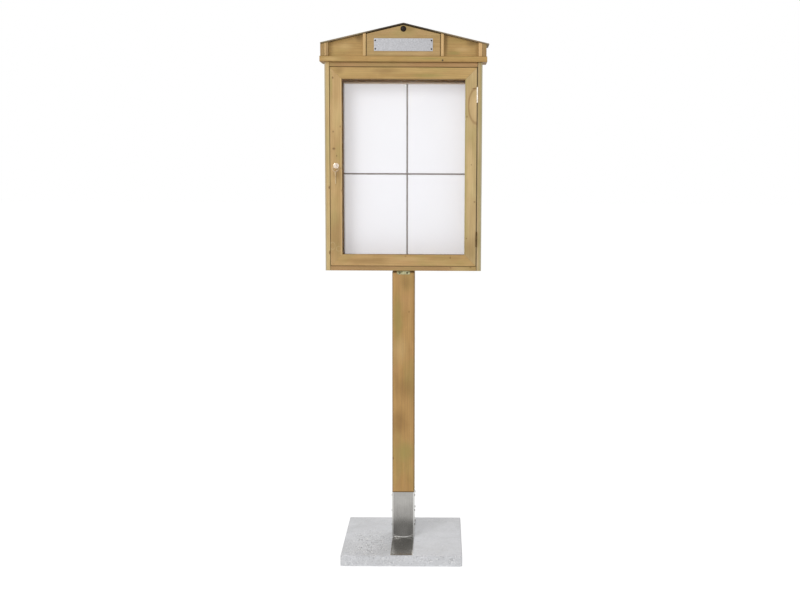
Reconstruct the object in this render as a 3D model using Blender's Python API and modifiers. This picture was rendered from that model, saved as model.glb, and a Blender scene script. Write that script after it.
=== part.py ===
"""Free-standing information display stand with a glazed, lockable case on a post.

The stand is a cast slab, a timber post held by two bent steel shoes, a shallow timber case
with a hinged glazed door, and a gabled top.  Metres, +Z up, the front faces -Y, and the
origin is the centre of the slab's underside.
"""

import math

import bmesh
import bpy
from mathutils import Matrix, Vector

# Clearance between pieces that touch, and between a shaft or tongue and its hole
SEAT = 0.0003

# How far a fixed screw's or nail's head is sunk in the plate that carries it
SUNK = 0.0002

# Slab
BASE_WIDTH = 0.400
BASE_DEPTH = 0.400
BASE_HEIGHT = 0.036
BASE_CHAMFER = 0.003

# Post, and its lower end planed thinner for the shoes
POST_SIDE = 0.075
POST_SETBACK = 0.020
POST_ROUNDING = 0.003
POST_PLANED = 0.0008

# Shoes bent from sheet
SHOE_SHEET = 0.0015
SHOE_HEIGHT = 0.160
SHOE_CORNER = 0.0045
SHOE_BEND = 0.0035
SHOE_RELIEF = 0.001
SHOE_SEAM = 0.003
FOOT_MARGIN = 0.0065
FOOT_WIDTH = 0.074
SHOE_SCREW_HEIGHTS = (0.041, 0.091, 0.145)
SHOE_SCREW_FROM_CORNER = 0.018
SHOE_SCREW_HEAD_RADIUS = 0.0038
SHOE_SCREW_HEAD_HEIGHT = 0.0020
SHOE_SCREW_SHANK_RADIUS = 0.0019
SHOE_SCREW_LENGTH = 0.018

# Headed studs cast in the slab under each foot
ANCHOR_SPACING = 0.044
ANCHOR_SHANK_RADIUS = 0.004
ANCHOR_HEAD_RADIUS = 0.007
ANCHOR_HEAD_HEIGHT = 0.004
ANCHOR_LENGTH = 0.026

# Saddle plate between the post and the case
SADDLE_WIDTH = 0.044
SADDLE_SHEET = 0.0020
SADDLE_LIP = 0.0105
SADDLE_BEND = 0.0020
SADDLE_LIP_ROUNDING = 0.004
SADDLE_SCREW_SPACING = 0.025
SADDLE_SCREW_DROP = 0.0050
SADDLE_SCREW_HEAD_RADIUS = 0.0032
SADDLE_SCREW_HEAD_HEIGHT = 0.0016
SADDLE_SCREW_SHANK_RADIUS = 0.0016
SADDLE_SCREW_LENGTH = 0.016

# Bolts from the case floor into the post
CASE_BOLT_SPACING = 0.028
CASE_BOLT_HEAD_RADIUS = 0.007
CASE_BOLT_HEAD_HEIGHT = 0.0035
CASE_BOLT_SHANK_RADIUS = 0.003
CASE_BOLT_LENGTH = 0.050

# White board with four A4 fields, its sheets, strips and top rail
SHEET_WIDTH = 0.210
SHEET_HEIGHT = 0.297
SHEET_THICKNESS = 0.0004
DISPLAY_FIELD_WIDTH = 0.2142
DISPLAY_FIELD_HEIGHT = 0.3008
DISPLAY_BOARD = 0.012
DISPLAY_FOOT = 0.0060
STRIP_WIDTH = 0.0048
STRIP_FLANGE = 0.0012
STRIP_STEM = 0.0010
TOP_RAIL_HEIGHT = 0.0070
TOP_RAIL_PROJECTION = 0.0020

# Room in the case beside the board, where the lock's cam turns at the left, and over its rail
DISPLAY_LEFT_ROOM = 0.0400
DISPLAY_RIGHT_ROOM = 0.0196
DISPLAY_TOP_ROOM = 0.0434

# Case, as wide and as high as the board inside asks for
CASE_SIDE_BOARD = 0.016
CASE_FLOOR_BOARD = 0.015
CASE_INNER_WIDTH = DISPLAY_LEFT_ROOM + 2 * DISPLAY_FIELD_WIDTH + DISPLAY_RIGHT_ROOM
CASE_WIDTH = CASE_INNER_WIDTH + 2 * CASE_SIDE_BOARD
DISPLAY_HEIGHT = DISPLAY_FOOT + 2 * DISPLAY_FIELD_HEIGHT + SEAT + TOP_RAIL_HEIGHT
CASE_HEIGHT = SEAT + DISPLAY_HEIGHT + DISPLAY_TOP_ROOM + 2 * CASE_FLOOR_BOARD
CASE_DEPTH = 0.095
CASE_UNDERSIDE = 0.960
CASE_BACK_PANEL = 0.008
CASE_BACK_REBATE = 0.008
BOARD_EDGE = 0.0010

# Ledge over the case
LEDGE_SIDE_OVERHANG = 0.015
LEDGE_WIDTH = CASE_WIDTH + 2 * LEDGE_SIDE_OVERHANG
LEDGE_HEIGHT = 0.0186
LEDGE_OVERHANG = 0.012
LEDGE_NOSE = 0.0012

# Gable
PEDIMENT_INSET = 0.0025
PEDIMENT_WIDTH = LEDGE_WIDTH - 2 * PEDIMENT_INSET
PEDIMENT_SETBACK = 0.003
PEDIMENT_SIDE_BOARD = 0.013
PEDIMENT_BACK_BOARD = 0.009
RECESS_BOARD = 0.009
RECESS_DEPTH = 0.014
END_POST_WIDTH = 0.0125
PILASTER_WIDTH = 0.0095
CENTRE_PANEL_WIDTH = 0.2420
CENTRE_PANEL_SETBACK = 0.002
CENTRE_PANEL_TOP_GAP = 0.003
SHADOW_GAP = 0.0020
RIDGE_BATTEN_WIDTH = 0.024
RIDGE_BATTEN_HEIGHT = 0.014

# Roof boards: the left one ends flush with the gable, the right one stands out over it
ROOF_RISE = 0.0641
ROOF_ABOVE_LEDGE = 0.0434
ROOF_BOARD = 0.004
ROOF_LEFT_OVERHANG = 0.0
ROOF_RIGHT_OVERHANG = 0.0085
ROOF_FRONT_OVERHANG = 0.0035
ROOF_BACK_OVERHANG = 0.004
ROOF_EDGE = 0.0006

# Domed plug under the ridge
PLUG_RADIUS = 0.0095
PLUG_DOME = 0.0045
PLUG_STEM_RADIUS = 0.004
PLUG_STEM_LENGTH = 0.008
PLUG_BELOW_PEAK = 0.019

# Sign plate and its nails
SIGN_WIDTH = 0.193
SIGN_HEIGHT = 0.041
SIGN_THICKNESS = 0.0015
SIGN_CORNER = 0.001
SIGN_ABOVE_LEDGE = 0.0165
NAIL_INSET_X = 0.0045
NAIL_INSET_Z = 0.0068
NAIL_HEAD_RADIUS = 0.0022
NAIL_HEAD_HEIGHT = 0.0010
NAIL_SHANK_RADIUS = 0.0009
NAIL_LENGTH = 0.008

# Door
DOOR_GAP = 0.0012
DOOR_THICKNESS = 0.020
DOOR_MEMBER = 0.039
GLASS_THICKNESS = 0.004
GLASS_REBATE_WIDTH = 0.008
GLASS_REBATE_DEPTH = 0.011
GLASS_EDGE_CLEARANCE = 0.001
MITRE_OVERCUT = 0.010
BEAD_WIDTH = 0.007
BEAD_CHAMFER = 0.0025

# Hinges
HINGE_HEIGHT = 0.050
HINGE_FROM_DOOR_END = 0.0895
HINGE_LEAF = 0.0010
HINGE_LEAF_DEPTH = 0.0165
HINGE_KNUCKLE_RADIUS = 0.0025
HINGE_PIN_RADIUS = 0.0012
HINGE_PIN_HEAD_RADIUS = 0.0021
HINGE_PIN_HEAD_FLAT_RADIUS = 0.0015
HINGE_PIN_HEAD_HEIGHT = 0.0010
HINGE_KNUCKLE_GAP = 0.0004
HINGE_WEB = 0.0008
HINGE_SCREW_SPACING = 0.032
HINGE_SCREW_SHANK_RADIUS = 0.0013
HINGE_SCREW_LENGTH = 0.012
LEAF_PARTING = 0.0007

# Cam lock
LOCK_ABOVE_CASE_UNDERSIDE = 0.3492
LOCK_FLANGE_RADIUS = 0.0095
LOCK_FLANGE = 0.0025
LOCK_FLANGE_EDGE = 0.00075
LOCK_BARREL_RADIUS = 0.0065
LOCK_BARREL_BEHIND_DOOR = 0.0043
LOCK_PLUG_RADIUS = 0.0050
LOCK_PLUG_PROUD = 0.0005
LOCK_NUT_ACROSS_FLATS = 0.016
LOCK_NUT_THICKNESS = 0.0040
CAM_THICKNESS = 0.0020
CAM_WIDTH = 0.012
CAM_REACH = 0.018
CAM_SQUARE = 0.0060
CAM_SCREW_HEAD_RADIUS = 0.0038
CAM_SCREW_HEAD_HEIGHT = 0.0020
CAM_SCREW_SHANK_RADIUS = 0.0014
CAM_SCREW_LENGTH = 0.0080

# Keeper that the cam turns behind
KEEPER_SHEET = 0.0015
KEEPER_HEIGHT = 0.030
KEEPER_LIP = 0.0095
KEEPER_DEPTH = 0.018
KEEPER_BEND = 0.0010
KEEPER_CAM_GAP = 0.0008
KEEPER_SCREW_FROM_LIP = 0.0108
KEEPER_SCREW_SPACING = 0.016
KEEPER_SCREW_HEAD_RADIUS = 0.0026
KEEPER_SCREW_HEAD_HEIGHT = 0.0012
KEEPER_SCREW_SHANK_RADIUS = 0.0013
KEEPER_SCREW_LENGTH = 0.010

# Keys and ring
KEY_THICKNESS = 0.0018
KEY_BLADE_LENGTH = 0.020
KEY_BLADE_HEIGHT = 0.0065
KEY_TIP = 0.0020
KEY_TIP_HEIGHT = 0.0022
KEY_FIRST_NOTCH = 0.0047
KEY_NOTCH_DEPTHS = (0.0010, 0.0018, 0.0006, 0.0014)
KEY_NOTCH_PITCH = 0.0036
KEY_NOTCH_WIDTH = 0.0028
KEY_SHOULDER = 0.0090
KEY_NECK = 0.0030
KEY_BOW_RADIUS = 0.0110
KEY_HOLE_RADIUS = 0.0025
KEY_HOLE_FROM_BOW_CENTRE = 0.0050
RING_RADIUS = 0.0090
RING_WIRE_RADIUS = 0.0007

# Facets of round pieces
ROUND_STEPS = 32
SMALL_ROUND_STEPS = 12
HOLE_STEPS = 8
CORNER_STEPS = 4

# Angles in degrees: where a head's dome meets its rim, up to where edges are shaded smooth,
# and from where they are bevelled
DOME_RIM_ANGLE = 15
SMOOTH_ANGLE = 35
BEVEL_ANGLE = 30

# Places worked out from the sizes above
SLAB_TOP = BASE_HEIGHT + SEAT
POST_TOP = CASE_UNDERSIDE - SADDLE_SHEET - 2 * SEAT
CASE_FRONT = POST_SETBACK - CASE_DEPTH / 2
CASE_REAR = CASE_FRONT + CASE_DEPTH
CASE_TOP = CASE_UNDERSIDE + CASE_HEIGHT
CASE_FLOOR = CASE_UNDERSIDE + CASE_FLOOR_BOARD
CASE_INNER_HALF = CASE_INNER_WIDTH / 2
BACK_PANEL_FRONT = CASE_REAR - CASE_BACK_PANEL
LEDGE_UNDERSIDE = CASE_TOP + SEAT
LEDGE_TOP = LEDGE_UNDERSIDE + LEDGE_HEIGHT
LEDGE_FRONT = CASE_FRONT - LEDGE_OVERHANG
PEDIMENT_FLOOR = LEDGE_TOP + SEAT
PEDIMENT_FRONT = LEDGE_FRONT + PEDIMENT_SETBACK
RECESS_FRONT = PEDIMENT_FRONT + RECESS_DEPTH
CENTRE_PANEL_FRONT = PEDIMENT_FRONT + CENTRE_PANEL_SETBACK
ROOF_PEAK = LEDGE_TOP + ROOF_ABOVE_LEDGE + ROOF_RISE
ROOF_SLOPE = math.atan2(ROOF_RISE, PEDIMENT_WIDTH / 2)
ROOF_PLUMB = ROOF_BOARD / math.cos(ROOF_SLOPE)
SIGN_BOTTOM = LEDGE_TOP + SIGN_ABOVE_LEDGE
DOOR_HALF_WIDTH = CASE_INNER_HALF - DOOR_GAP
DOOR_BOTTOM = CASE_FLOOR + DOOR_GAP
DOOR_TOP = CASE_TOP - CASE_FLOOR_BOARD - DOOR_GAP
DOOR_FRONT = CASE_FRONT
DOOR_REAR = DOOR_FRONT + DOOR_THICKNESS
GLASS_REBATE_FRONT = DOOR_REAR - GLASS_REBATE_DEPTH
WINDOW_HALF_WIDTH = DOOR_HALF_WIDTH - DOOR_MEMBER
WINDOW_BOTTOM = DOOR_BOTTOM + DOOR_MEMBER
WINDOW_TOP = DOOR_TOP - DOOR_MEMBER
HINGE_X = CASE_INNER_HALF - DOOR_GAP / 2
HINGE_Y = DOOR_FRONT - HINGE_KNUCKLE_RADIUS - SEAT
HINGE_HEIGHTS = {
    "lower": DOOR_BOTTOM + HINGE_FROM_DOOR_END,
    "upper": DOOR_TOP - HINGE_FROM_DOOR_END,
}
LEAF_FRONT = DOOR_FRONT + SEAT
LOCK_X = -DOOR_HALF_WIDTH + DOOR_MEMBER / 2
LOCK_Z = CASE_UNDERSIDE + LOCK_ABOVE_CASE_UNDERSIDE
LOCK_FACE = DOOR_FRONT - SEAT - LOCK_FLANGE
PLUG_FACE = LOCK_FACE - LOCK_PLUG_PROUD
BARREL_END = DOOR_REAR + LOCK_BARREL_BEHIND_DOOR
CAM_FRONT = BARREL_END + SEAT
CAM_BACK = CAM_FRONT + CAM_THICKNESS
KEY_SEAT_Y = PLUG_FACE - SEAT
KEY_HOLE_DISTANCE = KEY_NECK + KEY_BOW_RADIUS + KEY_HOLE_FROM_BOW_CENTRE
HOLE_TO_WIRE = KEY_HOLE_RADIUS - RING_WIRE_RADIUS - SEAT
RING_Y = KEY_SEAT_Y - KEY_HOLE_DISTANCE
RING_TOP = LOCK_Z - HOLE_TO_WIRE
RING_BOTTOM = RING_TOP - 2 * RING_RADIUS
SPARE_HOLE_Z = RING_BOTTOM - HOLE_TO_WIRE
DISPLAY_OFFSET = (DISPLAY_LEFT_ROOM - DISPLAY_RIGHT_ROOM) / 2
DISPLAY_FRONT = BACK_PANEL_FRONT - SEAT - DISPLAY_BOARD
DISPLAY_BOTTOM = CASE_FLOOR + SEAT
DISPLAY_CENTRE_Z = DISPLAY_BOTTOM + DISPLAY_FOOT + DISPLAY_FIELD_HEIGHT
DISPLAY_TOP = DISPLAY_CENTRE_Z + DISPLAY_FIELD_HEIGHT
SHEET_BACK = DISPLAY_FRONT - SEAT
SHEET_FRONT = SHEET_BACK - SHEET_THICKNESS


# Scene, collections and materials

def clear_scene():
    for old in list(bpy.data.objects):
        bpy.data.objects.remove(old, do_unlink=True)


def new_collection(name):
    collection = bpy.data.collections.new(name)
    bpy.context.scene.collection.children.link(collection)
    return collection


def surface(name, colour, roughness, metallic=0.0, transmission=0.0):
    """A Principled material with the colour given as linear red, green and blue."""
    material = bpy.data.materials.new(name)
    material.use_nodes = True
    shader = material.node_tree.nodes["Principled BSDF"]
    shader.inputs["Base Color"].default_value = (*colour, 1.0)
    shader.inputs["Roughness"].default_value = roughness
    shader.inputs["Metallic"].default_value = metallic
    shader.inputs["Transmission Weight"].default_value = transmission
    material.diffuse_color = (*colour, 1.0)
    return material


# Shapes

def arc(centre, radius, start, end, steps):
    """Points along an arc, from the start to the end angle in degrees."""
    points = []
    for step in range(steps + 1):
        angle = math.radians(start + (end - start) * step / steps)
        points.append((centre[0] + radius * math.cos(angle), centre[1] + radius * math.sin(angle)))
    return points


def circle(centre, radius, steps):
    return arc(centre, radius, 0, 360, steps)[:-1]


def rounded_rectangle(low, high, radius):
    corners = (
        ((high[0] - radius, high[1] - radius), 0),
        ((low[0] + radius, high[1] - radius), 90),
        ((low[0] + radius, low[1] + radius), 180),
        ((high[0] - radius, low[1] + radius), 270),
    )
    points = []
    for centre, start in corners:
        points += arc(centre, radius, start, start + 90, CORNER_STEPS)
    return points


def link(mesh, name, material, collection):
    made = bpy.data.objects.new(name, mesh)
    collection.objects.link(made)
    if material is not None:
        mesh.materials.clear()
        mesh.materials.append(material)
    return made


def soften(mesh):
    """Smooth shading that keeps the sharp edges."""
    mesh.shade_smooth()
    mesh.set_sharp_from_angle(angle=math.radians(SMOOTH_ANGLE))


def box(name, low, high, material, collection):
    """A rectangular block between two corners, its origin at its centre."""
    low = Vector(low)
    high = Vector(high)
    shape = bmesh.new()
    bmesh.ops.create_cube(shape, size=1.0)
    bmesh.ops.scale(shape, vec=high - low, verts=shape.verts)
    mesh = bpy.data.meshes.new(name)
    shape.to_mesh(mesh)
    shape.free()
    made = link(mesh, name, material, collection)
    made.location = (low + high) / 2
    return made


# How a flat outline's own axes lie in the stand, for each direction that it is extruded in
OUTLINE_TURNS = {
    "X": Matrix(((0, 0, 1), (1, 0, 0), (0, 1, 0))).to_4x4(),
    "Y": Matrix(((1, 0, 0), (0, 0, -1), (0, 1, 0))).to_4x4(),
    "Z": Matrix.Identity(4),
}


def slab(name, outlines, along, start, end, material, collection):
    """A flat outline, with any holes as further outlines, extruded between two planes.

    Outline points are (y, z) for an extrusion along X, (x, z) along Y and (x, y) along Z.
    """
    curve = bpy.data.curves.new(name, "CURVE")
    curve.dimensions = "2D"
    curve.fill_mode = "BOTH"
    curve.extrude = abs(end - start) / 2
    for outline in outlines:
        spline = curve.splines.new("POLY")
        spline.points.add(len(outline) - 1)
        spline.use_cyclic_u = True
        for point, (u, v) in zip(spline.points, outline):
            point.co = (u, v, 0.0, 1.0)
    drawn = bpy.data.objects.new(name + "_outline", curve)
    collection.objects.link(drawn)
    bpy.context.view_layer.update()
    evaluated = drawn.evaluated_get(bpy.context.evaluated_depsgraph_get())
    mesh = bpy.data.meshes.new_from_object(evaluated)
    bpy.data.objects.remove(drawn, do_unlink=True)
    bpy.data.curves.remove(curve)
    mesh.name = name
    shape = bmesh.new()
    shape.from_mesh(mesh)
    bmesh.ops.remove_doubles(shape, verts=shape.verts, dist=0.000001)
    bmesh.ops.recalc_face_normals(shape, faces=shape.faces)
    shape.to_mesh(mesh)
    shape.free()
    made = link(mesh, name, material, collection)
    middle = {"X": 0, "Y": 1, "Z": 2}[along]
    place = Vector((0.0, 0.0, 0.0))
    place[middle] = (start + end) / 2
    made.matrix_world = Matrix.Translation(place) @ OUTLINE_TURNS[along]
    return made


def turned_mesh(name, profile, steps, collection, closed=False):
    """A profile of (radius, height) points turned about Z, from its top down."""
    mesh = bpy.data.meshes.new(name)
    last = len(profile) - 1
    edges = [(index, index + 1) for index in range(last)]
    if closed:
        edges.append((last, 0))
    mesh.from_pydata([(radius, 0.0, height) for radius, height in profile], edges, [])
    lathe = bpy.data.objects.new(name + "_profile", mesh)
    collection.objects.link(lathe)
    screw = lathe.modifiers.new("Screw", "SCREW")
    screw.axis = "Z"
    screw.steps = steps
    screw.render_steps = steps
    screw.use_merge_vertices = True
    screw.merge_threshold = 0.00001
    bpy.context.view_layer.update()
    evaluated = lathe.evaluated_get(bpy.context.evaluated_depsgraph_get())
    made = bpy.data.meshes.new_from_object(evaluated)
    bpy.data.objects.remove(lathe, do_unlink=True)
    bpy.data.meshes.remove(mesh)
    made.name = name
    shape = bmesh.new()
    shape.from_mesh(made)
    bmesh.ops.remove_doubles(shape, verts=shape.verts, dist=0.000001)
    bmesh.ops.recalc_face_normals(shape, faces=shape.faces)
    shape.to_mesh(made)
    shape.free()
    soften(made)
    return made


def pan_head_profile(head_radius, head_height, shank_radius, length):
    """Half outline of a screw: a low domed head above z = 0 and a plain shank below it."""
    dome = []
    reach = head_radius / math.cos(math.radians(DOME_RIM_ANGLE))
    for step in range(CORNER_STEPS + 1):
        angle = math.radians(90 - (90 - DOME_RIM_ANGLE) * step / CORNER_STEPS)
        dome.append((reach * math.cos(angle), head_height * math.sin(angle)))
    dome[0] = (0.0, head_height)
    return dome + [(head_radius, 0.0), (shank_radius, 0.0), (shank_radius, -length), (0.0, -length)]


def set_at(name, mesh, place, material, collection):
    """A piece made from a turned mesh, set where a matrix puts it."""
    made = link(mesh, name, material, collection)
    made.matrix_world = place
    return made


def copies(name, mesh, places, collection):
    """A tool for one modifier: copies of one mesh, each at its own matrix."""
    shape = bmesh.new()
    for place in places:
        copy = mesh.copy()
        copy.transform(place)
        shape.from_mesh(copy)
        bpy.data.meshes.remove(copy)
    joined = bpy.data.meshes.new(name)
    shape.to_mesh(joined)
    shape.free()
    bpy.data.meshes.remove(mesh)
    return link(joined, name, None, collection)


def cylinder_between(name, start, end, radius, steps, collection):
    """A plain cylinder from one point to another."""
    start = Vector(start)
    end = Vector(end)
    shape = bmesh.new()
    bmesh.ops.create_cone(shape, cap_ends=True, segments=steps, radius1=radius, radius2=radius,
                          depth=(end - start).length)
    mesh = bpy.data.meshes.new(name)
    shape.to_mesh(mesh)
    shape.free()
    made = link(mesh, name, None, collection)
    turn = (end - start).to_track_quat("Z", "Y")
    made.matrix_world = Matrix.Translation((start + end) / 2) @ turn.to_matrix().to_4x4()
    return made


def pointing(direction, place):
    """A matrix that turns +Z to a direction and moves the origin to a place."""
    turn = Vector(direction).to_track_quat("Z", "Y").to_matrix().to_4x4()
    return Matrix.Translation(Vector(place)) @ turn


def bevel(made, width, segments=2):
    modifier = made.modifiers.new("Bevel", "BEVEL")
    modifier.width = width
    modifier.segments = segments
    modifier.limit_method = "ANGLE"
    modifier.angle_limit = math.radians(BEVEL_ANGLE)
    modifier.use_clamp_overlap = True
    return made


def combine(made, tool, operation):
    """Cut a tool out of a piece, join it to the piece or keep what lies inside it."""
    tool.hide_render = True
    tool.display_type = "WIRE"
    modifier = made.modifiers.new(operation.title(), "BOOLEAN")
    modifier.operation = operation
    modifier.object = tool
    modifier.solver = "EXACT"
    return made


def joined_cutter(name, tools, collection):
    """Several separate cutters as one object, so that one modifier cuts them all."""
    bpy.context.view_layer.update()
    shape = bmesh.new()
    for tool in tools:
        copy = tool.data.copy()
        copy.transform(tool.matrix_world)
        shape.from_mesh(copy)
        bpy.data.meshes.remove(copy)
        bpy.data.objects.remove(tool, do_unlink=True)
    mesh = bpy.data.meshes.new(name)
    shape.to_mesh(mesh)
    shape.free()
    return link(mesh, name, None, collection)


def extrude(shape, edges, offset):
    """Extend edges of a sheet by an offset and return the new edges."""
    result = bmesh.ops.extrude_edge_only(shape, edges=edges)["geom"]
    verts = [item for item in result if isinstance(item, bmesh.types.BMVert)]
    bmesh.ops.translate(shape, vec=Vector(offset), verts=verts)
    fresh = set(verts)
    return [item for item in result if isinstance(item, bmesh.types.BMEdge)
            and item.verts[0] in fresh and item.verts[1] in fresh]


def sheet_metal(name, shape, thickness, material, collection):
    """A sheet given its thickness, half on each side of the drawn surface."""
    mesh = bpy.data.meshes.new(name)
    bmesh.ops.recalc_face_normals(shape, faces=shape.faces)
    shape.to_mesh(mesh)
    shape.free()
    made = link(mesh, name, material, collection)
    wall = made.modifiers.new("Thickness", "SOLIDIFY")
    wall.thickness = thickness
    wall.offset = 0.0
    wall.use_even_offset = True
    return made


def pivot(name, place, collection):
    """An empty on a joint's axis."""
    made = bpy.data.objects.new(name, None)
    made.empty_display_size = 0.02
    made.location = place
    collection.objects.link(made)
    return made


def hang(parent, children):
    """Parent pieces to an empty and leave them where they stand."""
    bpy.context.view_layer.update()
    for child in children:
        world = child.matrix_world.copy()
        child.parent = parent
        child.matrix_parent_inverse = parent.matrix_world.inverted()
        child.matrix_world = world


def roof_underside(x):
    """Height of the roof boards' underside over a place across the gable."""
    return ROOF_PEAK - abs(x) * math.tan(ROOF_SLOPE) - ROOF_PLUMB


def under_roof(low_x, high_x, floor, gap):
    """Outline of an upright board whose top follows the roof."""
    points = [(low_x, floor), (high_x, floor), (high_x, roof_underside(high_x) - gap)]
    if low_x < 0.0 < high_x:
        points.append((0.0, roof_underside(0.0) - gap))
    points.append((low_x, roof_underside(low_x) - gap))
    return points


# Slab and post

def anchor_places(face):
    """Matrices of the two studs under the front foot (face -1) or the rear one (face 1)."""
    shoe_half = POST_SIDE / 2 - POST_PLANED + SEAT + SHOE_SHEET
    near = POST_SETBACK + face * shoe_half
    far = face * (BASE_DEPTH / 2 - FOOT_MARGIN)
    return [Matrix.Translation((side * ANCHOR_SPACING / 2, (near + far) / 2, BASE_HEIGHT))
            for side in (-1, 1)]


def anchor_profile(clearance):
    """Half outline of a headed stud below z = 0, grown by a clearance for its cavity.

    Its top reaches to the middle of the foot plate that it is welded to.
    """
    shank = ANCHOR_SHANK_RADIUS + clearance
    head = ANCHOR_HEAD_RADIUS + clearance
    neck = -ANCHOR_LENGTH + ANCHOR_HEAD_HEIGHT + clearance
    top = SEAT + SHOE_SHEET / 2
    bottom = -ANCHOR_LENGTH - clearance
    return [(0.0, top), (shank, top), (shank, neck), (head, neck), (head, bottom), (0.0, bottom)]


def build_base(parts, cutters, look):
    low = (-BASE_WIDTH / 2, -BASE_DEPTH / 2, 0.0)
    high = (BASE_WIDTH / 2, BASE_DEPTH / 2, BASE_HEIGHT)
    base = box("concrete_base", low, high, look["concrete"], parts)
    bevel(base, BASE_CHAMFER)
    cavity = turned_mesh("anchor_cavity", anchor_profile(SEAT), SMALL_ROUND_STEPS, cutters)
    places = anchor_places(-1) + anchor_places(1)
    combine(base, copies("anchor_cavities", cavity, places, cutters), "DIFFERENCE")


def shoe_screw_places(face):
    """Matrices of the screws on both sides of the front shoe (face -1) or the rear one (face 1)."""
    half = POST_SIDE / 2 - POST_PLANED + SEAT + SHOE_SHEET
    row = POST_SETBACK + face * (half - SHOE_SCREW_FROM_CORNER)
    places = []
    for side in (-1, 1):
        for height in SHOE_SCREW_HEIGHTS:
            places.append(pointing((side, 0, 0), (side * (half - SUNK), row, BASE_HEIGHT + height)))
    return places


def saddle_screw_places():
    """Matrices of the saddle plate's screws, front and rear."""
    reach = POST_SIDE / 2 + SEAT + SADDLE_SHEET - SUNK
    height = POST_TOP - SADDLE_SCREW_DROP
    places = []
    for face in (-1, 1):
        for side in (-1, 1):
            place = (side * SADDLE_SCREW_SPACING / 2, POST_SETBACK + face * reach, height)
            places.append(pointing((0, face, 0), place))
    return places


def case_bolt_places():
    """Matrices of the front and the rear bolt, their heads on the case floor."""
    return [Matrix.Translation((0.0, POST_SETBACK + side * CASE_BOLT_SPACING / 2, CASE_FLOOR + SEAT))
            for side in (-1, 1)]


def hole_cutter(name, places, radius, length, reach, collection):
    """Holes along each place's axis, from above its origin to its length below it.

    Their flats, not their corners, lie at the radius, so that round shanks clear them.
    """
    corner_radius = radius / math.cos(math.pi / HOLE_STEPS)
    tools = []
    for index, place in enumerate(places):
        axis = place.to_3x3() @ Vector((0, 0, 1))
        origin = place.to_translation()
        tools.append(cylinder_between(f"{name}_{index}", origin + axis * reach, origin - axis * length,
                                      corner_radius, HOLE_STEPS, collection))
    return joined_cutter(name, tools, collection)


def build_post(parts, cutters, look):
    half = POST_SIDE / 2
    shoulder = SLAB_TOP + SHOE_HEIGHT
    post = box("post", (-half, POST_SETBACK - half, shoulder), (half, POST_SETBACK + half, POST_TOP),
               look["post_wood"], parts)
    bevel(post, POST_ROUNDING)
    planed = half - POST_PLANED
    foot = box("post_foot", (-planed, POST_SETBACK - planed, SLAB_TOP),
               (planed, POST_SETBACK + planed, shoulder + POST_SIDE), None, cutters)
    bevel(foot, POST_ROUNDING)
    combine(post, foot, "UNION")
    shoe_places = shoe_screw_places(-1) + shoe_screw_places(1)
    shoe_holes = hole_cutter("shoe_pilot_holes", shoe_places, SHOE_SCREW_SHANK_RADIUS + SEAT,
                             SHOE_SCREW_LENGTH + SEAT, SEAT, cutters)
    combine(post, shoe_holes, "DIFFERENCE")
    saddle_holes = hole_cutter("saddle_pilot_holes", saddle_screw_places(), SADDLE_SCREW_SHANK_RADIUS + SEAT,
                               SADDLE_SCREW_LENGTH + SEAT, SEAT, cutters)
    combine(post, saddle_holes, "DIFFERENCE")
    combine(post, case_bolt_holes("post_bolt_holes", cutters), "DIFFERENCE")


def case_bolt_holes(name, cutters):
    return hole_cutter(name, case_bolt_places(), CASE_BOLT_SHANK_RADIUS + SEAT, CASE_BOLT_LENGTH + SEAT,
                       CASE_FLOOR_BOARD, cutters)


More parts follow.
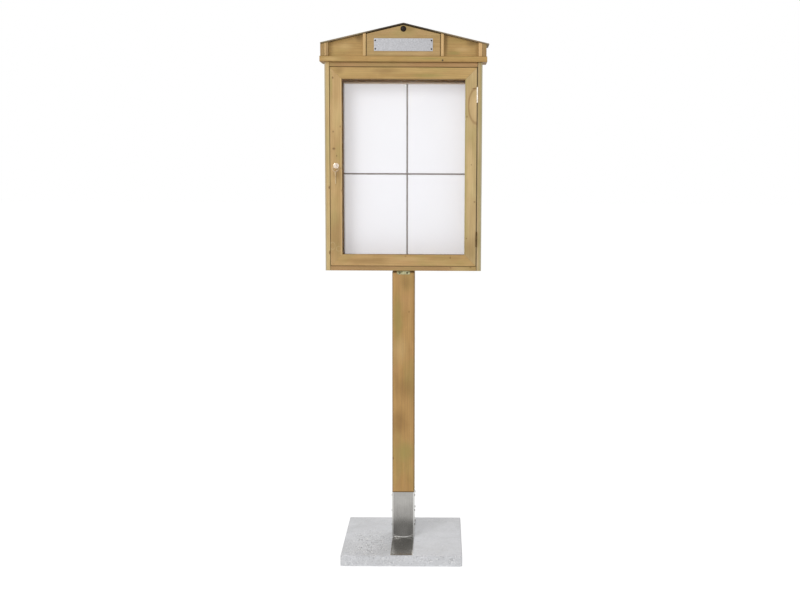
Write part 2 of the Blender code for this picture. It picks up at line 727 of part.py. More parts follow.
def build_shoe(name, face, parts, cutters, look):
    """One shoe: a channel round half of the post, bent outwards at its foot as a flat plate.

    It is drawn as the middle surface of the sheet, with the post's centre as its origin and its
    foot towards -Y, and the rear shoe (face 1) is turned half round.
    """
    foot_end = -(BASE_DEPTH / 2 - FOOT_MARGIN) + face * POST_SETBACK
    half = POST_SIDE / 2 - POST_PLANED + SEAT + SHOE_SHEET / 2
    corner = SHOE_CORNER - SHOE_SHEET / 2
    bend = SHOE_BEND + SHOE_SHEET / 2
    foot_level = SEAT + SHOE_SHEET / 2
    top = SHOE_HEIGHT
    bend_start = foot_level + bend
    channel = [(-half, -SHOE_SEAM / 2)]
    channel += arc((-half + corner, -half + corner), corner, 180, 270, CORNER_STEPS)
    channel.append((-half + corner + SHOE_RELIEF, -half))
    channel += [(-x, y) for x, y in reversed(channel)]
    middle = len(channel) // 2 - 1
    shape = bmesh.new()
    verts = [shape.verts.new((x, y, top)) for x, y in channel]
    edges = [shape.edges.new(pair) for pair in zip(verts, verts[1:])]
    extruded = extrude(shape, edges, (0, 0, bend_start - top))
    relief = half - corner - SHOE_RELIEF / 2
    centre = [edge for edge in extruded if max(abs(vert.co.x) for vert in edge.verts) < relief]
    flanks = [edge for edge in extruded if min(abs(vert.co.x) for vert in edge.verts) > relief]
    extrude(shape, flanks, (0, 0, SEAT - bend_start))
    previous = (-half, bend_start)
    for y, z in arc((-half - bend, foot_level + bend), bend, 0, -90, CORNER_STEPS)[1:]:
        centre = extrude(shape, centre, (0, y - previous[0], z - previous[1]))
        previous = (y, z)
    centre = extrude(shape, centre, (0, -SHOE_RELIEF, 0))
    foot_start = previous[0] - SHOE_RELIEF
    extrude(shape, centre, (0, foot_end - foot_start, 0))
    widen_foot(shape, foot_start, foot_level, FOOT_WIDTH / 2)
    made = sheet_metal(name, shape, SHOE_SHEET, look["stainless"], parts)
    made.location = (0.0, POST_SETBACK, BASE_HEIGHT)
    made.rotation_euler = (0.0, 0.0, math.pi if face > 0 else 0.0)
    stud = turned_mesh(name + "_stud", anchor_profile(0.0), SMALL_ROUND_STEPS, cutters)
    combine(made, copies(name + "_studs", stud, anchor_places(face), cutters), "UNION")
    profile = pan_head_profile(SHOE_SCREW_HEAD_RADIUS, SHOE_SCREW_HEAD_HEIGHT, SHOE_SCREW_SHANK_RADIUS,
                               SHOE_SCREW_LENGTH)
    screw = turned_mesh(name + "_screw", profile, SMALL_ROUND_STEPS, cutters)
    combine(made, copies(name + "_screws", screw, shoe_screw_places(face), cutters), "UNION")


def widen_foot(shape, foot_start, foot_level, half_width):
    """Extend the foot plate sideways from the bent strip to its own width."""
    flat = 0.00001
    sides = []
    for edge in shape.edges:
        ends = [vert.co for vert in edge.verts]
        on_floor = all(abs(end.z - foot_level) < flat and end.y < foot_start + flat for end in ends)
        along = abs(ends[0].x - ends[1].x) < flat
        if on_floor and along and abs(ends[0].y - ends[1].y) > flat:
            sides.append(edge)
    for edge in sides:
        side = math.copysign(1.0, edge.verts[0].co.x)
        reach = half_width - abs(edge.verts[0].co.x)
        extrude(shape, [edge], (side * reach, 0, 0))


def build_saddle(parts, cutters, look):
    """The plate on the post's top, its lips folded down the front and the rear."""
    half = POST_SIDE / 2 + SEAT + SADDLE_SHEET / 2
    level = POST_TOP + SEAT + SADDLE_SHEET / 2
    bend = SADDLE_BEND
    path = [(-half, POST_TOP - SADDLE_LIP)]
    path += arc((-half + bend, level - bend), bend, 180, 90, CORNER_STEPS)
    path += [(-y, z) for y, z in reversed(path)]
    shape = bmesh.new()
    low, high = [shape.verts.new((x, path[0][0], path[0][1]))
                 for x in (-SADDLE_WIDTH / 2, SADDLE_WIDTH / 2)]
    edges = [shape.edges.new((low, high))]
    for start, end in zip(path, path[1:]):
        edges = extrude(shape, edges, (0, end[0] - start[0], end[1] - start[1]))
    corners = [vert for vert in shape.verts if vert.co.z < POST_TOP - SADDLE_LIP + SEAT]
    bmesh.ops.bevel(shape, geom=corners, offset=SADDLE_LIP_ROUNDING, offset_type="OFFSET",
                    segments=CORNER_STEPS, profile=0.5, affect="VERTICES")
    plate = sheet_metal("post_top_plate", shape, SADDLE_SHEET, look["zinc"], parts)
    plate.location = (0.0, POST_SETBACK, 0.0)
    combine(plate, case_bolt_holes("saddle_bolt_holes", cutters), "DIFFERENCE")
    profile = pan_head_profile(SADDLE_SCREW_HEAD_RADIUS, SADDLE_SCREW_HEAD_HEIGHT, SADDLE_SCREW_SHANK_RADIUS,
                               SADDLE_SCREW_LENGTH)
    screw = turned_mesh("saddle_screw", profile, SMALL_ROUND_STEPS, cutters)
    combine(plate, copies("saddle_screws", screw, saddle_screw_places(), cutters), "UNION")
    profile = pan_head_profile(CASE_BOLT_HEAD_RADIUS, CASE_BOLT_HEAD_HEIGHT, CASE_BOLT_SHANK_RADIUS,
                               CASE_BOLT_LENGTH)
    bolt = turned_mesh("case_bolt", profile, SMALL_ROUND_STEPS, parts)
    for name, place in zip(("case_bolt_front", "case_bolt_rear"), case_bolt_places()):
        set_at(name, bolt, place, look["zinc"], parts)


# Case

def build_case(parts, cutters, look):
    sides = {}
    for name, side in (("case_left_side", -1), ("case_right_side", 1)):
        outer = side * CASE_WIDTH / 2
        inner = side * CASE_INNER_HALF
        rebate = side * (CASE_INNER_HALF + CASE_BACK_REBATE)
        rebate_front = BACK_PANEL_FRONT - SEAT
        outline = [(outer, CASE_FRONT), (inner, CASE_FRONT), (inner, rebate_front), (rebate, rebate_front),
                   (rebate, CASE_REAR), (outer, CASE_REAR)]
        board = slab(name, [outline], "Z", CASE_UNDERSIDE, CASE_TOP, look["pine"], parts)
        sides[name] = bevel(board, BOARD_EDGE)
    reach = CASE_INNER_HALF - SEAT
    for name, low in (("case_bottom", CASE_UNDERSIDE), ("case_top", CASE_TOP - CASE_FLOOR_BOARD)):
        board = box(name, (-reach, CASE_FRONT, low), (reach, BACK_PANEL_FRONT - SEAT, low + CASE_FLOOR_BOARD),
                    look["pine"], parts)
        bevel(board, BOARD_EDGE)
        sides[name] = board
    combine(sides["case_bottom"], case_bolt_holes("floor_bolt_holes", cutters), "DIFFERENCE")
    reach = CASE_INNER_HALF + CASE_BACK_REBATE - SEAT
    back = box("case_back", (-reach, BACK_PANEL_FRONT, CASE_UNDERSIDE), (reach, CASE_REAR, CASE_TOP),
               look["plywood"], parts)
    bevel(back, BOARD_EDGE)
    return sides


def build_gable(parts, cutters, look):
    half = LEDGE_WIDTH / 2
    ledge = box("ledge_board", (-half, LEDGE_FRONT, LEDGE_UNDERSIDE), (half, CASE_REAR, LEDGE_TOP),
                look["pine"], parts)
    bevel(ledge, LEDGE_NOSE)
    outer = PEDIMENT_WIDTH / 2
    inner = outer - PEDIMENT_SIDE_BOARD
    back_front = CASE_REAR - PEDIMENT_BACK_BOARD
    planted_back = RECESS_FRONT - SEAT
    post_outer = inner - 2 * SEAT
    post_inner = post_outer - END_POST_WIDTH
    panel_half = CENTRE_PANEL_WIDTH / 2
    pilaster_inner = panel_half + SHADOW_GAP
    pilaster_outer = pilaster_inner + PILASTER_WIDTH
    for hand, side in (("left", -1), ("right", 1)):
        pieces = (
            (f"pediment_{hand}_side", inner, outer, PEDIMENT_FRONT, CASE_REAR),
            (f"{hand}_end_post", post_inner, post_outer, PEDIMENT_FRONT, planted_back),
            (f"{hand}_pilaster", pilaster_inner, pilaster_outer, PEDIMENT_FRONT, planted_back),
        )
        for name, near, far, front, rear in pieces:
            low, high = sorted((side * near, side * far))
            outline = under_roof(low, high, PEDIMENT_FLOOR, SEAT)
            bevel(slab(name, [outline], "Y", front, rear, look["pine"], parts), BOARD_EDGE)
    reach = inner - SEAT
    recess = under_roof(-reach, reach, PEDIMENT_FLOOR, SEAT)
    slab("recess_board", [recess], "Y", RECESS_FRONT, RECESS_FRONT + RECESS_BOARD, look["pine"], parts)
    back = slab("pediment_back", [recess], "Y", back_front, CASE_REAR, look["pine"], parts)
    bevel(back, BOARD_EDGE)
    outline = under_roof(-panel_half, panel_half, PEDIMENT_FLOOR, CENTRE_PANEL_TOP_GAP)
    panel = slab("centre_panel", [outline], "Y", CENTRE_PANEL_FRONT, planted_back, look["pine"], parts)
    bevel(panel, BOARD_EDGE)
    build_ridge_batten(back_front, parts, look)
    return panel


def build_ridge_batten(back_front, parts, look):
    half = RIDGE_BATTEN_WIDTH / 2
    floor = roof_underside(half) - RIDGE_BATTEN_HEIGHT
    outline = under_roof(-half, half, floor, SEAT)
    slab("ridge_batten", [outline], "Y", RECESS_FRONT + RECESS_BOARD + SEAT, back_front - SEAT,
         look["pine"], parts)


def build_roof(parts, look):
    front = PEDIMENT_FRONT - ROOF_FRONT_OVERHANG
    rear = CASE_REAR + ROOF_BACK_OVERHANG
    gable = PEDIMENT_WIDTH / 2
    boards = (("roof_left", -SEAT / 2, -gable - ROOF_LEFT_OVERHANG),
              ("roof_right", SEAT / 2, gable + ROOF_RIGHT_OVERHANG))
    for name, ridge, eave in boards:
        outline = [(ridge, roof_underside(ridge) + ROOF_PLUMB), (eave, roof_underside(eave) + ROOF_PLUMB),
                   (eave, roof_underside(eave)), (ridge, roof_underside(ridge))]
        bevel(slab(name, [outline], "Y", front, rear, look["roof"], parts), ROOF_EDGE, 1)


def build_sign(panel, parts, cutters, look):
    """The bare plate on the centre panel with its nails, and the plug above it."""
    plug_z = ROOF_PEAK - PLUG_BELOW_PEAK
    plug_place = pointing((0, -1, 0), (0.0, CENTRE_PANEL_FRONT - SEAT, plug_z))
    profile = pan_head_profile(PLUG_RADIUS, PLUG_DOME, PLUG_STEM_RADIUS, PLUG_STEM_LENGTH)
    plug = turned_mesh("peak_plug", profile, ROUND_STEPS, parts)
    set_at("peak_plug", plug, plug_place, look["dark_plug"], parts)
    plug_hole = hole_cutter("plug_hole", [plug_place], PLUG_STEM_RADIUS + SEAT, PLUG_STEM_LENGTH + SEAT,
                            SIGN_THICKNESS, cutters)
    combine(panel, plug_hole, "DIFFERENCE")
    back = CENTRE_PANEL_FRONT - SEAT
    outline = rounded_rectangle((-SIGN_WIDTH / 2, SIGN_BOTTOM), (SIGN_WIDTH / 2, SIGN_BOTTOM + SIGN_HEIGHT),
                                SIGN_CORNER)
    places = []
    for x in (-SIGN_WIDTH / 2 + NAIL_INSET_X, SIGN_WIDTH / 2 - NAIL_INSET_X):
        for z in (SIGN_BOTTOM + NAIL_INSET_Z, SIGN_BOTTOM + SIGN_HEIGHT - NAIL_INSET_Z):
            places.append(pointing((0, -1, 0), (x, back - SIGN_THICKNESS + SUNK, z)))
    plate = slab("sign_plate", [outline], "Y", back - SIGN_THICKNESS, back, look["zinc_plate"], parts)
    nail_holes = hole_cutter("nail_holes", places, NAIL_SHANK_RADIUS + SEAT, NAIL_LENGTH + SEAT, SEAT,
                             cutters)
    combine(panel, nail_holes, "DIFFERENCE")
    profile = pan_head_profile(NAIL_HEAD_RADIUS, NAIL_HEAD_HEIGHT, NAIL_SHANK_RADIUS, NAIL_LENGTH)
    nail = turned_mesh("sign_nail", profile, SMALL_ROUND_STEPS, cutters)
    combine(plate, copies("sign_nails", nail, places, cutters), "UNION")


# Board with the sheets

def build_display(parts, look):
    left = DISPLAY_OFFSET - DISPLAY_FIELD_WIDTH
    right = DISPLAY_OFFSET + DISPLAY_FIELD_WIDTH
    box("display_board", (left, DISPLAY_FRONT, DISPLAY_BOTTOM), (right, BACK_PANEL_FRONT - SEAT, DISPLAY_TOP),
        look["white_board"], parts)
    rail_low = DISPLAY_TOP + SEAT
    rail = box("board_top_rail", (left, DISPLAY_FRONT - TOP_RAIL_PROJECTION, rail_low),
               (right, BACK_PANEL_FRONT - SEAT, rail_low + TOP_RAIL_HEIGHT), look["aluminium"], parts)
    bevel(rail, BOARD_EDGE / 2)
    inset = STRIP_STEM / 2 + SEAT
    for row, up in (("lower", -1), ("upper", 1)):
        for hand, across in (("left", -1), ("right", 1)):
            near = Vector((DISPLAY_OFFSET + across * inset, SHEET_FRONT, DISPLAY_CENTRE_Z + up * inset))
            far = near + Vector((across * SHEET_WIDTH, SHEET_THICKNESS, up * SHEET_HEIGHT))
            low = [min(pair) for pair in zip(near, far)]
            high = [max(pair) for pair in zip(near, far)]
            box(f"sheet_{row}_{hand}", low, high, look["paper"], parts)
    build_strips(left, right, parts, look)


def build_strips(left, right, parts, look):
    """T-strips: the flange overlaps the sheets' edges and the stem stands on the board."""
    flange_back = SHEET_FRONT - SEAT
    flange_front = flange_back - STRIP_FLANGE
    wide = STRIP_WIDTH / 2
    stem = STRIP_STEM / 2
    foot = DISPLAY_FRONT - SEAT
    section = [(-wide, flange_front), (wide, flange_front), (wide, flange_back), (stem, flange_back),
               (stem, foot), (-stem, foot), (-stem, flange_back), (-wide, flange_back)]
    across = [(y, DISPLAY_CENTRE_Z + u) for u, y in section]
    slab("horizontal_strip", [across], "X", left, right, look["aluminium"], parts)
    upright = [(DISPLAY_OFFSET + u, y) for u, y in section]
    for name, low, high in (
        ("lower_vertical_strip", DISPLAY_BOTTOM + DISPLAY_FOOT, DISPLAY_CENTRE_Z - wide - SEAT),
        ("upper_vertical_strip", DISPLAY_CENTRE_Z + wide + SEAT, DISPLAY_TOP),
    ):
        slab(name, [upright], "Z", low, high, look["aluminium"], parts)


# Door

def member_section():
    """Section of a door member from its outer edge (u = 0) to the window, with the pane's rebate."""
    window = DOOR_MEMBER
    rebate = DOOR_MEMBER - GLASS_REBATE_WIDTH
    near = DOOR_FRONT + BOARD_EDGE
    points = arc((BOARD_EDGE, near), BOARD_EDGE, 180, 270, CORNER_STEPS)
    points += arc((window - BOARD_EDGE, near), BOARD_EDGE, 270, 360, CORNER_STEPS)
    points += [(window, GLASS_REBATE_FRONT), (rebate, GLASS_REBATE_FRONT), (rebate, DOOR_REAR),
               (0.0, DOOR_REAR)]
    return points


def build_door(parts, cutters, look):
    """Four members of one section, sawn to mitres, with the pane and its beads behind."""
    outer = DOOR_HALF_WIDTH + MITRE_OVERCUT
    inner = WINDOW_HALF_WIDTH - MITRE_OVERCUT
    low = DOOR_BOTTOM - MITRE_OVERCUT
    high = DOOR_TOP + MITRE_OVERCUT
    window_low = WINDOW_BOTTOM + MITRE_OVERCUT
    window_high = WINDOW_TOP - MITRE_OVERCUT
    before = DOOR_FRONT - MITRE_OVERCUT
    behind = DOOR_REAR + MITRE_OVERCUT
    gap = SEAT * math.sqrt(2)
    section = member_section()
    members = {}
    tools = []
    for name, side in (("door_left_stile", -1), ("door_right_stile", 1)):
        placed = [(side * (DOOR_HALF_WIDTH - u), y) for u, y in section]
        stile = slab(name, [placed], "Z", low, high, look["pine"], parts)
        cuts = [(side * outer, low + gap), (side * inner, window_low + gap),
                (side * inner, window_high - gap), (side * outer, high - gap)]
        tools.append(slab(name + "_mitres", [cuts], "Y", before, behind, None, cutters))
        members[name] = combine(stile, tools[-1], "INTERSECT")
    for name, edge, up in (("door_bottom_rail", DOOR_BOTTOM, 1), ("door_top_rail", DOOR_TOP, -1)):
        placed = [(y, edge + up * u) for u, y in section]
        rail = slab(name, [placed], "X", -outer, outer, look["pine"], parts)
        far = edge - up * MITRE_OVERCUT
        near = edge + up * (DOOR_MEMBER + MITRE_OVERCUT)
        cuts = [(-outer, far), (outer, far), (inner, near), (-inner, near)]
        tools.append(slab(name + "_mitres", [cuts], "Y", before, behind, None, cutters))
        members[name] = combine(rail, tools[-1], "INTERSECT")
    wide = WINDOW_HALF_WIDTH + GLASS_REBATE_WIDTH
    low = WINDOW_BOTTOM - GLASS_REBATE_WIDTH
    high = WINDOW_TOP + GLASS_REBATE_WIDTH
    trim = GLASS_EDGE_CLEARANCE
    glass_front = GLASS_REBATE_FRONT + SEAT
    glass_rear = glass_front + GLASS_THICKNESS
    members["door_glass"] = box("door_glass", (-wide + trim, glass_front, low + trim),
                                (wide - trim, glass_rear, high - trim), look["glass"], parts)
    members.update(build_beads(wide - SEAT, low + SEAT, high - SEAT, glass_rear + SEAT, parts, look))
    return members, tools


def build_beads(reach, low, high, front, parts, look):
    """Four strips behind the pane, chamfered on the side that shows."""
    rear = DOOR_REAR - SEAT
    section = [(0.0, front), (BEAD_WIDTH, front), (BEAD_WIDTH, rear - BEAD_CHAMFER),
               (BEAD_WIDTH - BEAD_CHAMFER, rear), (0.0, rear)]
    between = reach - BEAD_WIDTH - SEAT
    beads = {}
    for name, side in (("bead_left", -1), ("bead_right", 1)):
        outline = [(side * (reach - u), y) for u, y in section]
        beads[name] = slab(name, [outline], "Z", low, high, look["pine"], parts)
    for name, level, side in (("bead_bottom", low, 1), ("bead_top", high, -1)):
        outline = [(y, level + side * u) for u, y in section]
        beads[name] = slab(name, [outline], "X", -between, between, look["pine"], parts)
    return beads


# Hinges

def leaf_span(side):
    """The leaf's lowest and highest x: it lies against the door's edge or the case's side."""
    near = HINGE_X + side * LEAF_PARTING / 2
    return sorted((near, near + side * HINGE_LEAF))


def hinge_screw_places(side, centre_z):
    """Matrices of one leaf's screws, which start flush in the leaf and face the parting."""
    middle = HINGE_X + side * (LEAF_PARTING + HINGE_LEAF) / 2
    depth = LEAF_FRONT + HINGE_LEAF_DEPTH / 2
    return [pointing((-side, 0, 0), (middle, depth, centre_z + step * HINGE_SCREW_SPACING / 2))
            for step in (-1, 1)]


def build_leaf(name, side, centre_z, knuckles, parts, cutters, look):
    low_x, high_x = leaf_span(side)
    low_z = centre_z - HINGE_HEIGHT / 2
    high_z = centre_z + HINGE_HEIGHT / 2
    leaf = box(name, (low_x, LEAF_FRONT, low_z), (high_x, LEAF_FRONT + HINGE_LEAF_DEPTH, high_z),
               look["zinc"], parts)
    middle_x = (low_x + high_x) / 2
    for index, (start, end) in enumerate(knuckles):
        barrel = cylinder_between(f"{name}_knuckle_{index}", (HINGE_X, HINGE_Y, centre_z + start),
                                  (HINGE_X, HINGE_Y, centre_z + end), HINGE_KNUCKLE_RADIUS,
                                  SMALL_ROUND_STEPS, cutters)
        web = box(f"{name}_web_{index}", (middle_x - HINGE_WEB / 2, HINGE_Y, centre_z + start),
                  (middle_x + HINGE_WEB / 2, LEAF_FRONT + HINGE_LEAF, centre_z + end), None, cutters)
        combine(web, barrel, "UNION")
        combine(leaf, web, "UNION")
    bore = cylinder_between(name + "_bore", (HINGE_X, HINGE_Y, centre_z - HINGE_HEIGHT),
                            (HINGE_X, HINGE_Y, centre_z + HINGE_HEIGHT), HINGE_PIN_RADIUS + SEAT,
                            SMALL_ROUND_STEPS, cutters)
    combine(leaf, bore, "DIFFERENCE")
    screws = hole_cutter(name + "_screws", hinge_screw_places(side, centre_z), HINGE_SCREW_SHANK_RADIUS,
                         HINGE_SCREW_LENGTH, 0.0, cutters)
    combine(leaf, screws, "UNION")
    return leaf


def build_hinges(door_stile, case_side, parts, cutters, look):
    """Two butt hinges: three knuckles each, the leaves let into the stile and the side board."""
    half = HINGE_HEIGHT / 2
    third = HINGE_HEIGHT / 6
    gap = HINGE_KNUCKLE_GAP / 2
    case_knuckles = ((-half, -third - gap), (third + gap, half))
    door_knuckles = ((-third + gap, third - gap),)
    door_pieces = []
    door_tools = []
    screws = {-1: [], 1: []}
    mortises = {-1: [], 1: []}
    for level, centre_z in HINGE_HEIGHTS.items():
        build_leaf(f"hinge_{level}_case_leaf", 1, centre_z, case_knuckles, parts, cutters, look)
        door_pieces.append(build_leaf(f"hinge_{level}_door_leaf", -1, centre_z, door_knuckles, parts, cutters,
                                      look))
        build_pin(level, centre_z, parts, look)
        for side in (-1, 1):
            screws[side] += hinge_screw_places(side, centre_z)
            low_x, high_x = leaf_span(side)
            mortises[side].append(box(f"mortise_{level}_{side}",
                                      (low_x - SEAT, LEAF_FRONT - HINGE_LEAF, centre_z - half - SEAT),
                                      (high_x + SEAT, LEAF_FRONT + HINGE_LEAF_DEPTH + SEAT,
                                       centre_z + half + SEAT), None, cutters))
    for side, board, owner in ((-1, door_stile, "door"), (1, case_side, "case")):
        mortise = joined_cutter(f"hinge_mortises_{owner}", mortises[side], cutters)
        combine(board, mortise, "DIFFERENCE")
        pilots = hole_cutter(f"hinge_pilot_holes_{owner}", screws[side], HINGE_SCREW_SHANK_RADIUS + SEAT,
                             HINGE_SCREW_LENGTH + SEAT, HINGE_LEAF, cutters)
        combine(board, pilots, "DIFFERENCE")
        if owner == "door":
            door_tools += [mortise, pilots]
    return door_pieces, door_tools


def build_pin(level, centre_z, parts, look):
    top = HINGE_HEIGHT / 2 + SEAT
    bottom = -HINGE_HEIGHT / 2
    head = top + HINGE_PIN_HEAD_HEIGHT
    profile = [(0.0, head), (HINGE_PIN_HEAD_FLAT_RADIUS, head), (HINGE_PIN_HEAD_RADIUS, top),
               (HINGE_PIN_RADIUS, top), (HINGE_PIN_RADIUS, bottom), (0.0, bottom)]
    mesh = turned_mesh(f"hinge_{level}_pin", profile, SMALL_ROUND_STEPS, parts)
    pin = link(mesh, f"hinge_{level}_pin", look["zinc"], parts)
    pin.location = (HINGE_X, HINGE_Y, centre_z)
    return pin


# Lock

def build_lock(stile, parts, cutters, look):
    """Cam lock: housing and nut on the door, plug with cam and screw turning in them."""
    bore = LOCK_PLUG_RADIUS + SEAT
    end = -(BARREL_END - LOCK_FACE - LOCK_FLANGE)
    profile = [(bore, LOCK_FLANGE), (LOCK_FLANGE_RADIUS - LOCK_FLANGE_EDGE, LOCK_FLANGE),
               (LOCK_FLANGE_RADIUS, LOCK_FLANGE - LOCK_FLANGE_EDGE), (LOCK_FLANGE_RADIUS, 0.0),
               (LOCK_BARREL_RADIUS, 0.0), (LOCK_BARREL_RADIUS, end), (bore, end)]
    housing = set_at("lock_housing", turned_mesh("lock_housing", profile, ROUND_STEPS, parts, closed=True),
                     pointing((0, -1, 0), (LOCK_X, LOCK_FACE + LOCK_FLANGE, LOCK_Z)), look["nickel"], parts)
    hole = cylinder_between("lock_hole", (LOCK_X, DOOR_FRONT - DOOR_THICKNESS, LOCK_Z),
                            (LOCK_X, DOOR_REAR + DOOR_THICKNESS, LOCK_Z), LOCK_BARREL_RADIUS + SEAT,
                            ROUND_STEPS, cutters)
    combine(stile, hole, "DIFFERENCE")
    hexagon = circle((LOCK_X, LOCK_Z), LOCK_NUT_ACROSS_FLATS / math.sqrt(3), 6)
    nut_bore = circle((LOCK_X, LOCK_Z), LOCK_BARREL_RADIUS + SEAT, ROUND_STEPS)
    nut = slab("lock_nut", [hexagon, nut_bore], "Y", DOOR_REAR + SEAT, DOOR_REAR + SEAT + LOCK_NUT_THICKNESS,
               look["zinc"], parts)
    plug, plug_tools = build_plug(parts, cutters, look)
    cam = build_cam(parts, look)
    screw_back = CAM_BACK + SEAT
    profile = pan_head_profile(CAM_SCREW_HEAD_RADIUS, CAM_SCREW_HEAD_HEIGHT, CAM_SCREW_SHANK_RADIUS,
                               CAM_SCREW_LENGTH)
    screw = set_at("cam_screw", turned_mesh("cam_screw", profile, SMALL_ROUND_STEPS, parts),
                   pointing((0, 1, 0), (LOCK_X, screw_back, LOCK_Z)), look["zinc"], parts)
    return (housing, nut, hole), (plug, cam, screw, *plug_tools)


def build_plug(parts, cutters, look):
    """The round plug with a keyway in front, a square end for the cam and a tapped hole behind."""
    plug = cylinder_between("lock_plug", (LOCK_X, BARREL_END - SEAT, LOCK_Z), (LOCK_X, PLUG_FACE, LOCK_Z),
                            LOCK_PLUG_RADIUS, ROUND_STEPS, parts)
    plug.data.materials.append(look["brass"])
    soften(plug.data)
    half = CAM_SQUARE / 2
    square = box("plug_square", (LOCK_X - half, BARREL_END - CAM_SQUARE, LOCK_Z - half),
                 (LOCK_X + half, CAM_BACK, LOCK_Z + half), None, cutters)
    combine(plug, square, "UNION")
    wide = KEY_THICKNESS / 2 + SEAT
    tall = KEY_BLADE_HEIGHT / 2 + SEAT
    keyway = box("keyway", (LOCK_X - wide, PLUG_FACE - KEY_THICKNESS, LOCK_Z - tall),
                 (LOCK_X + wide, KEY_SEAT_Y + KEY_BLADE_LENGTH + SEAT, LOCK_Z + tall), None, cutters)
    combine(plug, keyway, "DIFFERENCE")
    thread = cylinder_between("cam_screw_hole", (LOCK_X, CAM_BACK + CAM_THICKNESS, LOCK_Z),
                              (LOCK_X, CAM_BACK + SEAT - CAM_SCREW_LENGTH - SEAT, LOCK_Z),
                              CAM_SCREW_SHANK_RADIUS + SEAT, SMALL_ROUND_STEPS, cutters)
    combine(plug, thread, "DIFFERENCE")
    return plug, (square, keyway, thread)


def build_cam(parts, look):
    """A flat tongue with a square hole, hanging down while the door is unlocked."""
    half = CAM_WIDTH / 2
    nose = CAM_REACH - half
    outline = arc((LOCK_X, LOCK_Z), half, 0, 180, 2 * CORNER_STEPS)
    outline += arc((LOCK_X, LOCK_Z - nose), half, 180, 360, 2 * CORNER_STEPS)
    grip = CAM_SQUARE / 2 + SEAT
    square = [(LOCK_X - grip, LOCK_Z - grip), (LOCK_X + grip, LOCK_Z - grip),
              (LOCK_X + grip, LOCK_Z + grip), (LOCK_X - grip, LOCK_Z + grip)]
    return slab("lock_cam", [outline, square], "Y", CAM_FRONT, CAM_BACK, look["zinc"], parts)


def build_keeper(case_side, parts, cutters, look):
    """A strip bent to an L on the case side, its lip in front of the locked cam."""
    wall = -CASE_INNER_HALF + SEAT + KEEPER_SHEET / 2
    lip = CAM_FRONT - KEEPER_CAM_GAP - KEEPER_SHEET / 2
    path = [(wall + KEEPER_LIP, lip)]
    path += arc((wall + KEEPER_BEND, lip + KEEPER_BEND), KEEPER_BEND, 270, 180, CORNER_STEPS)
    path.append((wall, lip + KEEPER_DEPTH))
    shape = bmesh.new()
    low_z = LOCK_Z - KEEPER_HEIGHT / 2
    verts = [shape.verts.new((x, y, low_z)) for x, y in path]
    edges = [shape.edges.new(pair) for pair in zip(verts, verts[1:])]
    extrude(shape, edges, (0, 0, KEEPER_HEIGHT))
    keeper = sheet_metal("lock_keeper", shape, KEEPER_SHEET, look["zinc"], parts)
    face = wall + KEEPER_SHEET / 2 - SUNK
    depth = lip + KEEPER_SCREW_FROM_LIP
    places = [pointing((1, 0, 0), (face, depth, LOCK_Z + side * KEEPER_SCREW_SPACING / 2))
              for side in (-1, 1)]
    pilots = hole_cutter("keeper_pilot_holes", places, KEEPER_SCREW_SHANK_RADIUS + SEAT,
                         KEEPER_SCREW_LENGTH + SEAT, SEAT, cutters)
    combine(case_side, pilots, "DIFFERENCE")
    profile = pan_head_profile(KEEPER_SCREW_HEAD_RADIUS, KEEPER_SCREW_HEAD_HEIGHT, KEEPER_SCREW_SHANK_RADIUS,
                               KEEPER_SCREW_LENGTH)
    screw = turned_mesh("keeper_screw", profile, SMALL_ROUND_STEPS, cutters)
    combine(keeper, copies("keeper_screws", screw, places, cutters), "UNION")


# Keys

def key_outline():
    """Outline of a key from its tip at u = 0 to its round bow, the notches below."""
    half = KEY_BLADE_HEIGHT / 2
    shoulder = KEY_SHOULDER / 2
    nose = KEY_TIP_HEIGHT / 2
    slope = KEY_NOTCH_WIDTH / 2
    points = [(0.0, -nose), (KEY_TIP, -half)]
    for index, depth in enumerate(KEY_NOTCH_DEPTHS):
        place = KEY_FIRST_NOTCH + KEY_NOTCH_PITCH * index
        points += [(place - slope, -half), (place, -half + depth), (place + slope, -half)]
    points += [(KEY_BLADE_LENGTH, -half), (KEY_BLADE_LENGTH, -shoulder)]
    centre = KEY_BLADE_LENGTH + KEY_NECK + KEY_BOW_RADIUS
    reach = math.degrees(math.asin(shoulder / KEY_BOW_RADIUS))
    points += arc((centre, 0.0), KEY_BOW_RADIUS, -180 + reach, 180 - reach, ROUND_STEPS)
    points += [(KEY_BLADE_LENGTH, shoulder), (KEY_BLADE_LENGTH, half), (KEY_TIP, half), (0.0, nose)]
    return points


def build_keys(parts, look):
    """The key in the lock, the ring through its bow and the spare key on the ring."""
    tip = KEY_SEAT_Y + KEY_BLADE_LENGTH
    hole = KEY_BLADE_LENGTH + KEY_HOLE_DISTANCE
    eye = circle((hole, 0.0), KEY_HOLE_RADIUS, SMALL_ROUND_STEPS)
    half = KEY_THICKNESS / 2
    key = slab("key", [key_outline(), eye], "Z", -half, half, look["nickel"], parts)
    into_lock = Matrix(((0, 0, 1), (-1, 0, 0), (0, -1, 0))).to_4x4()
    key.matrix_world = Matrix.Translation((LOCK_X, tip, LOCK_Z)) @ into_lock
    spare = bpy.data.objects.new("spare_key", key.data)
    parts.objects.link(spare)
    hanging = Matrix(((0, 0, 1), (0, -1, 0), (1, 0, 0))).to_4x4()
    spare.matrix_world = Matrix.Translation((LOCK_X, RING_Y, SPARE_HOLE_Z - hole)) @ hanging
    wire = [(RING_RADIUS + u, v) for u, v in reversed(circle((0.0, 0.0), RING_WIRE_RADIUS, 8))]
    mesh = turned_mesh("key_ring", wire, ROUND_STEPS, parts, closed=True)
    ring = link(mesh, "key_ring", look["zinc"], parts)
    ring.matrix_world = pointing((0, -1, 0), (LOCK_X, RING_Y, RING_TOP - RING_RADIUS))
    return key, ring, spare


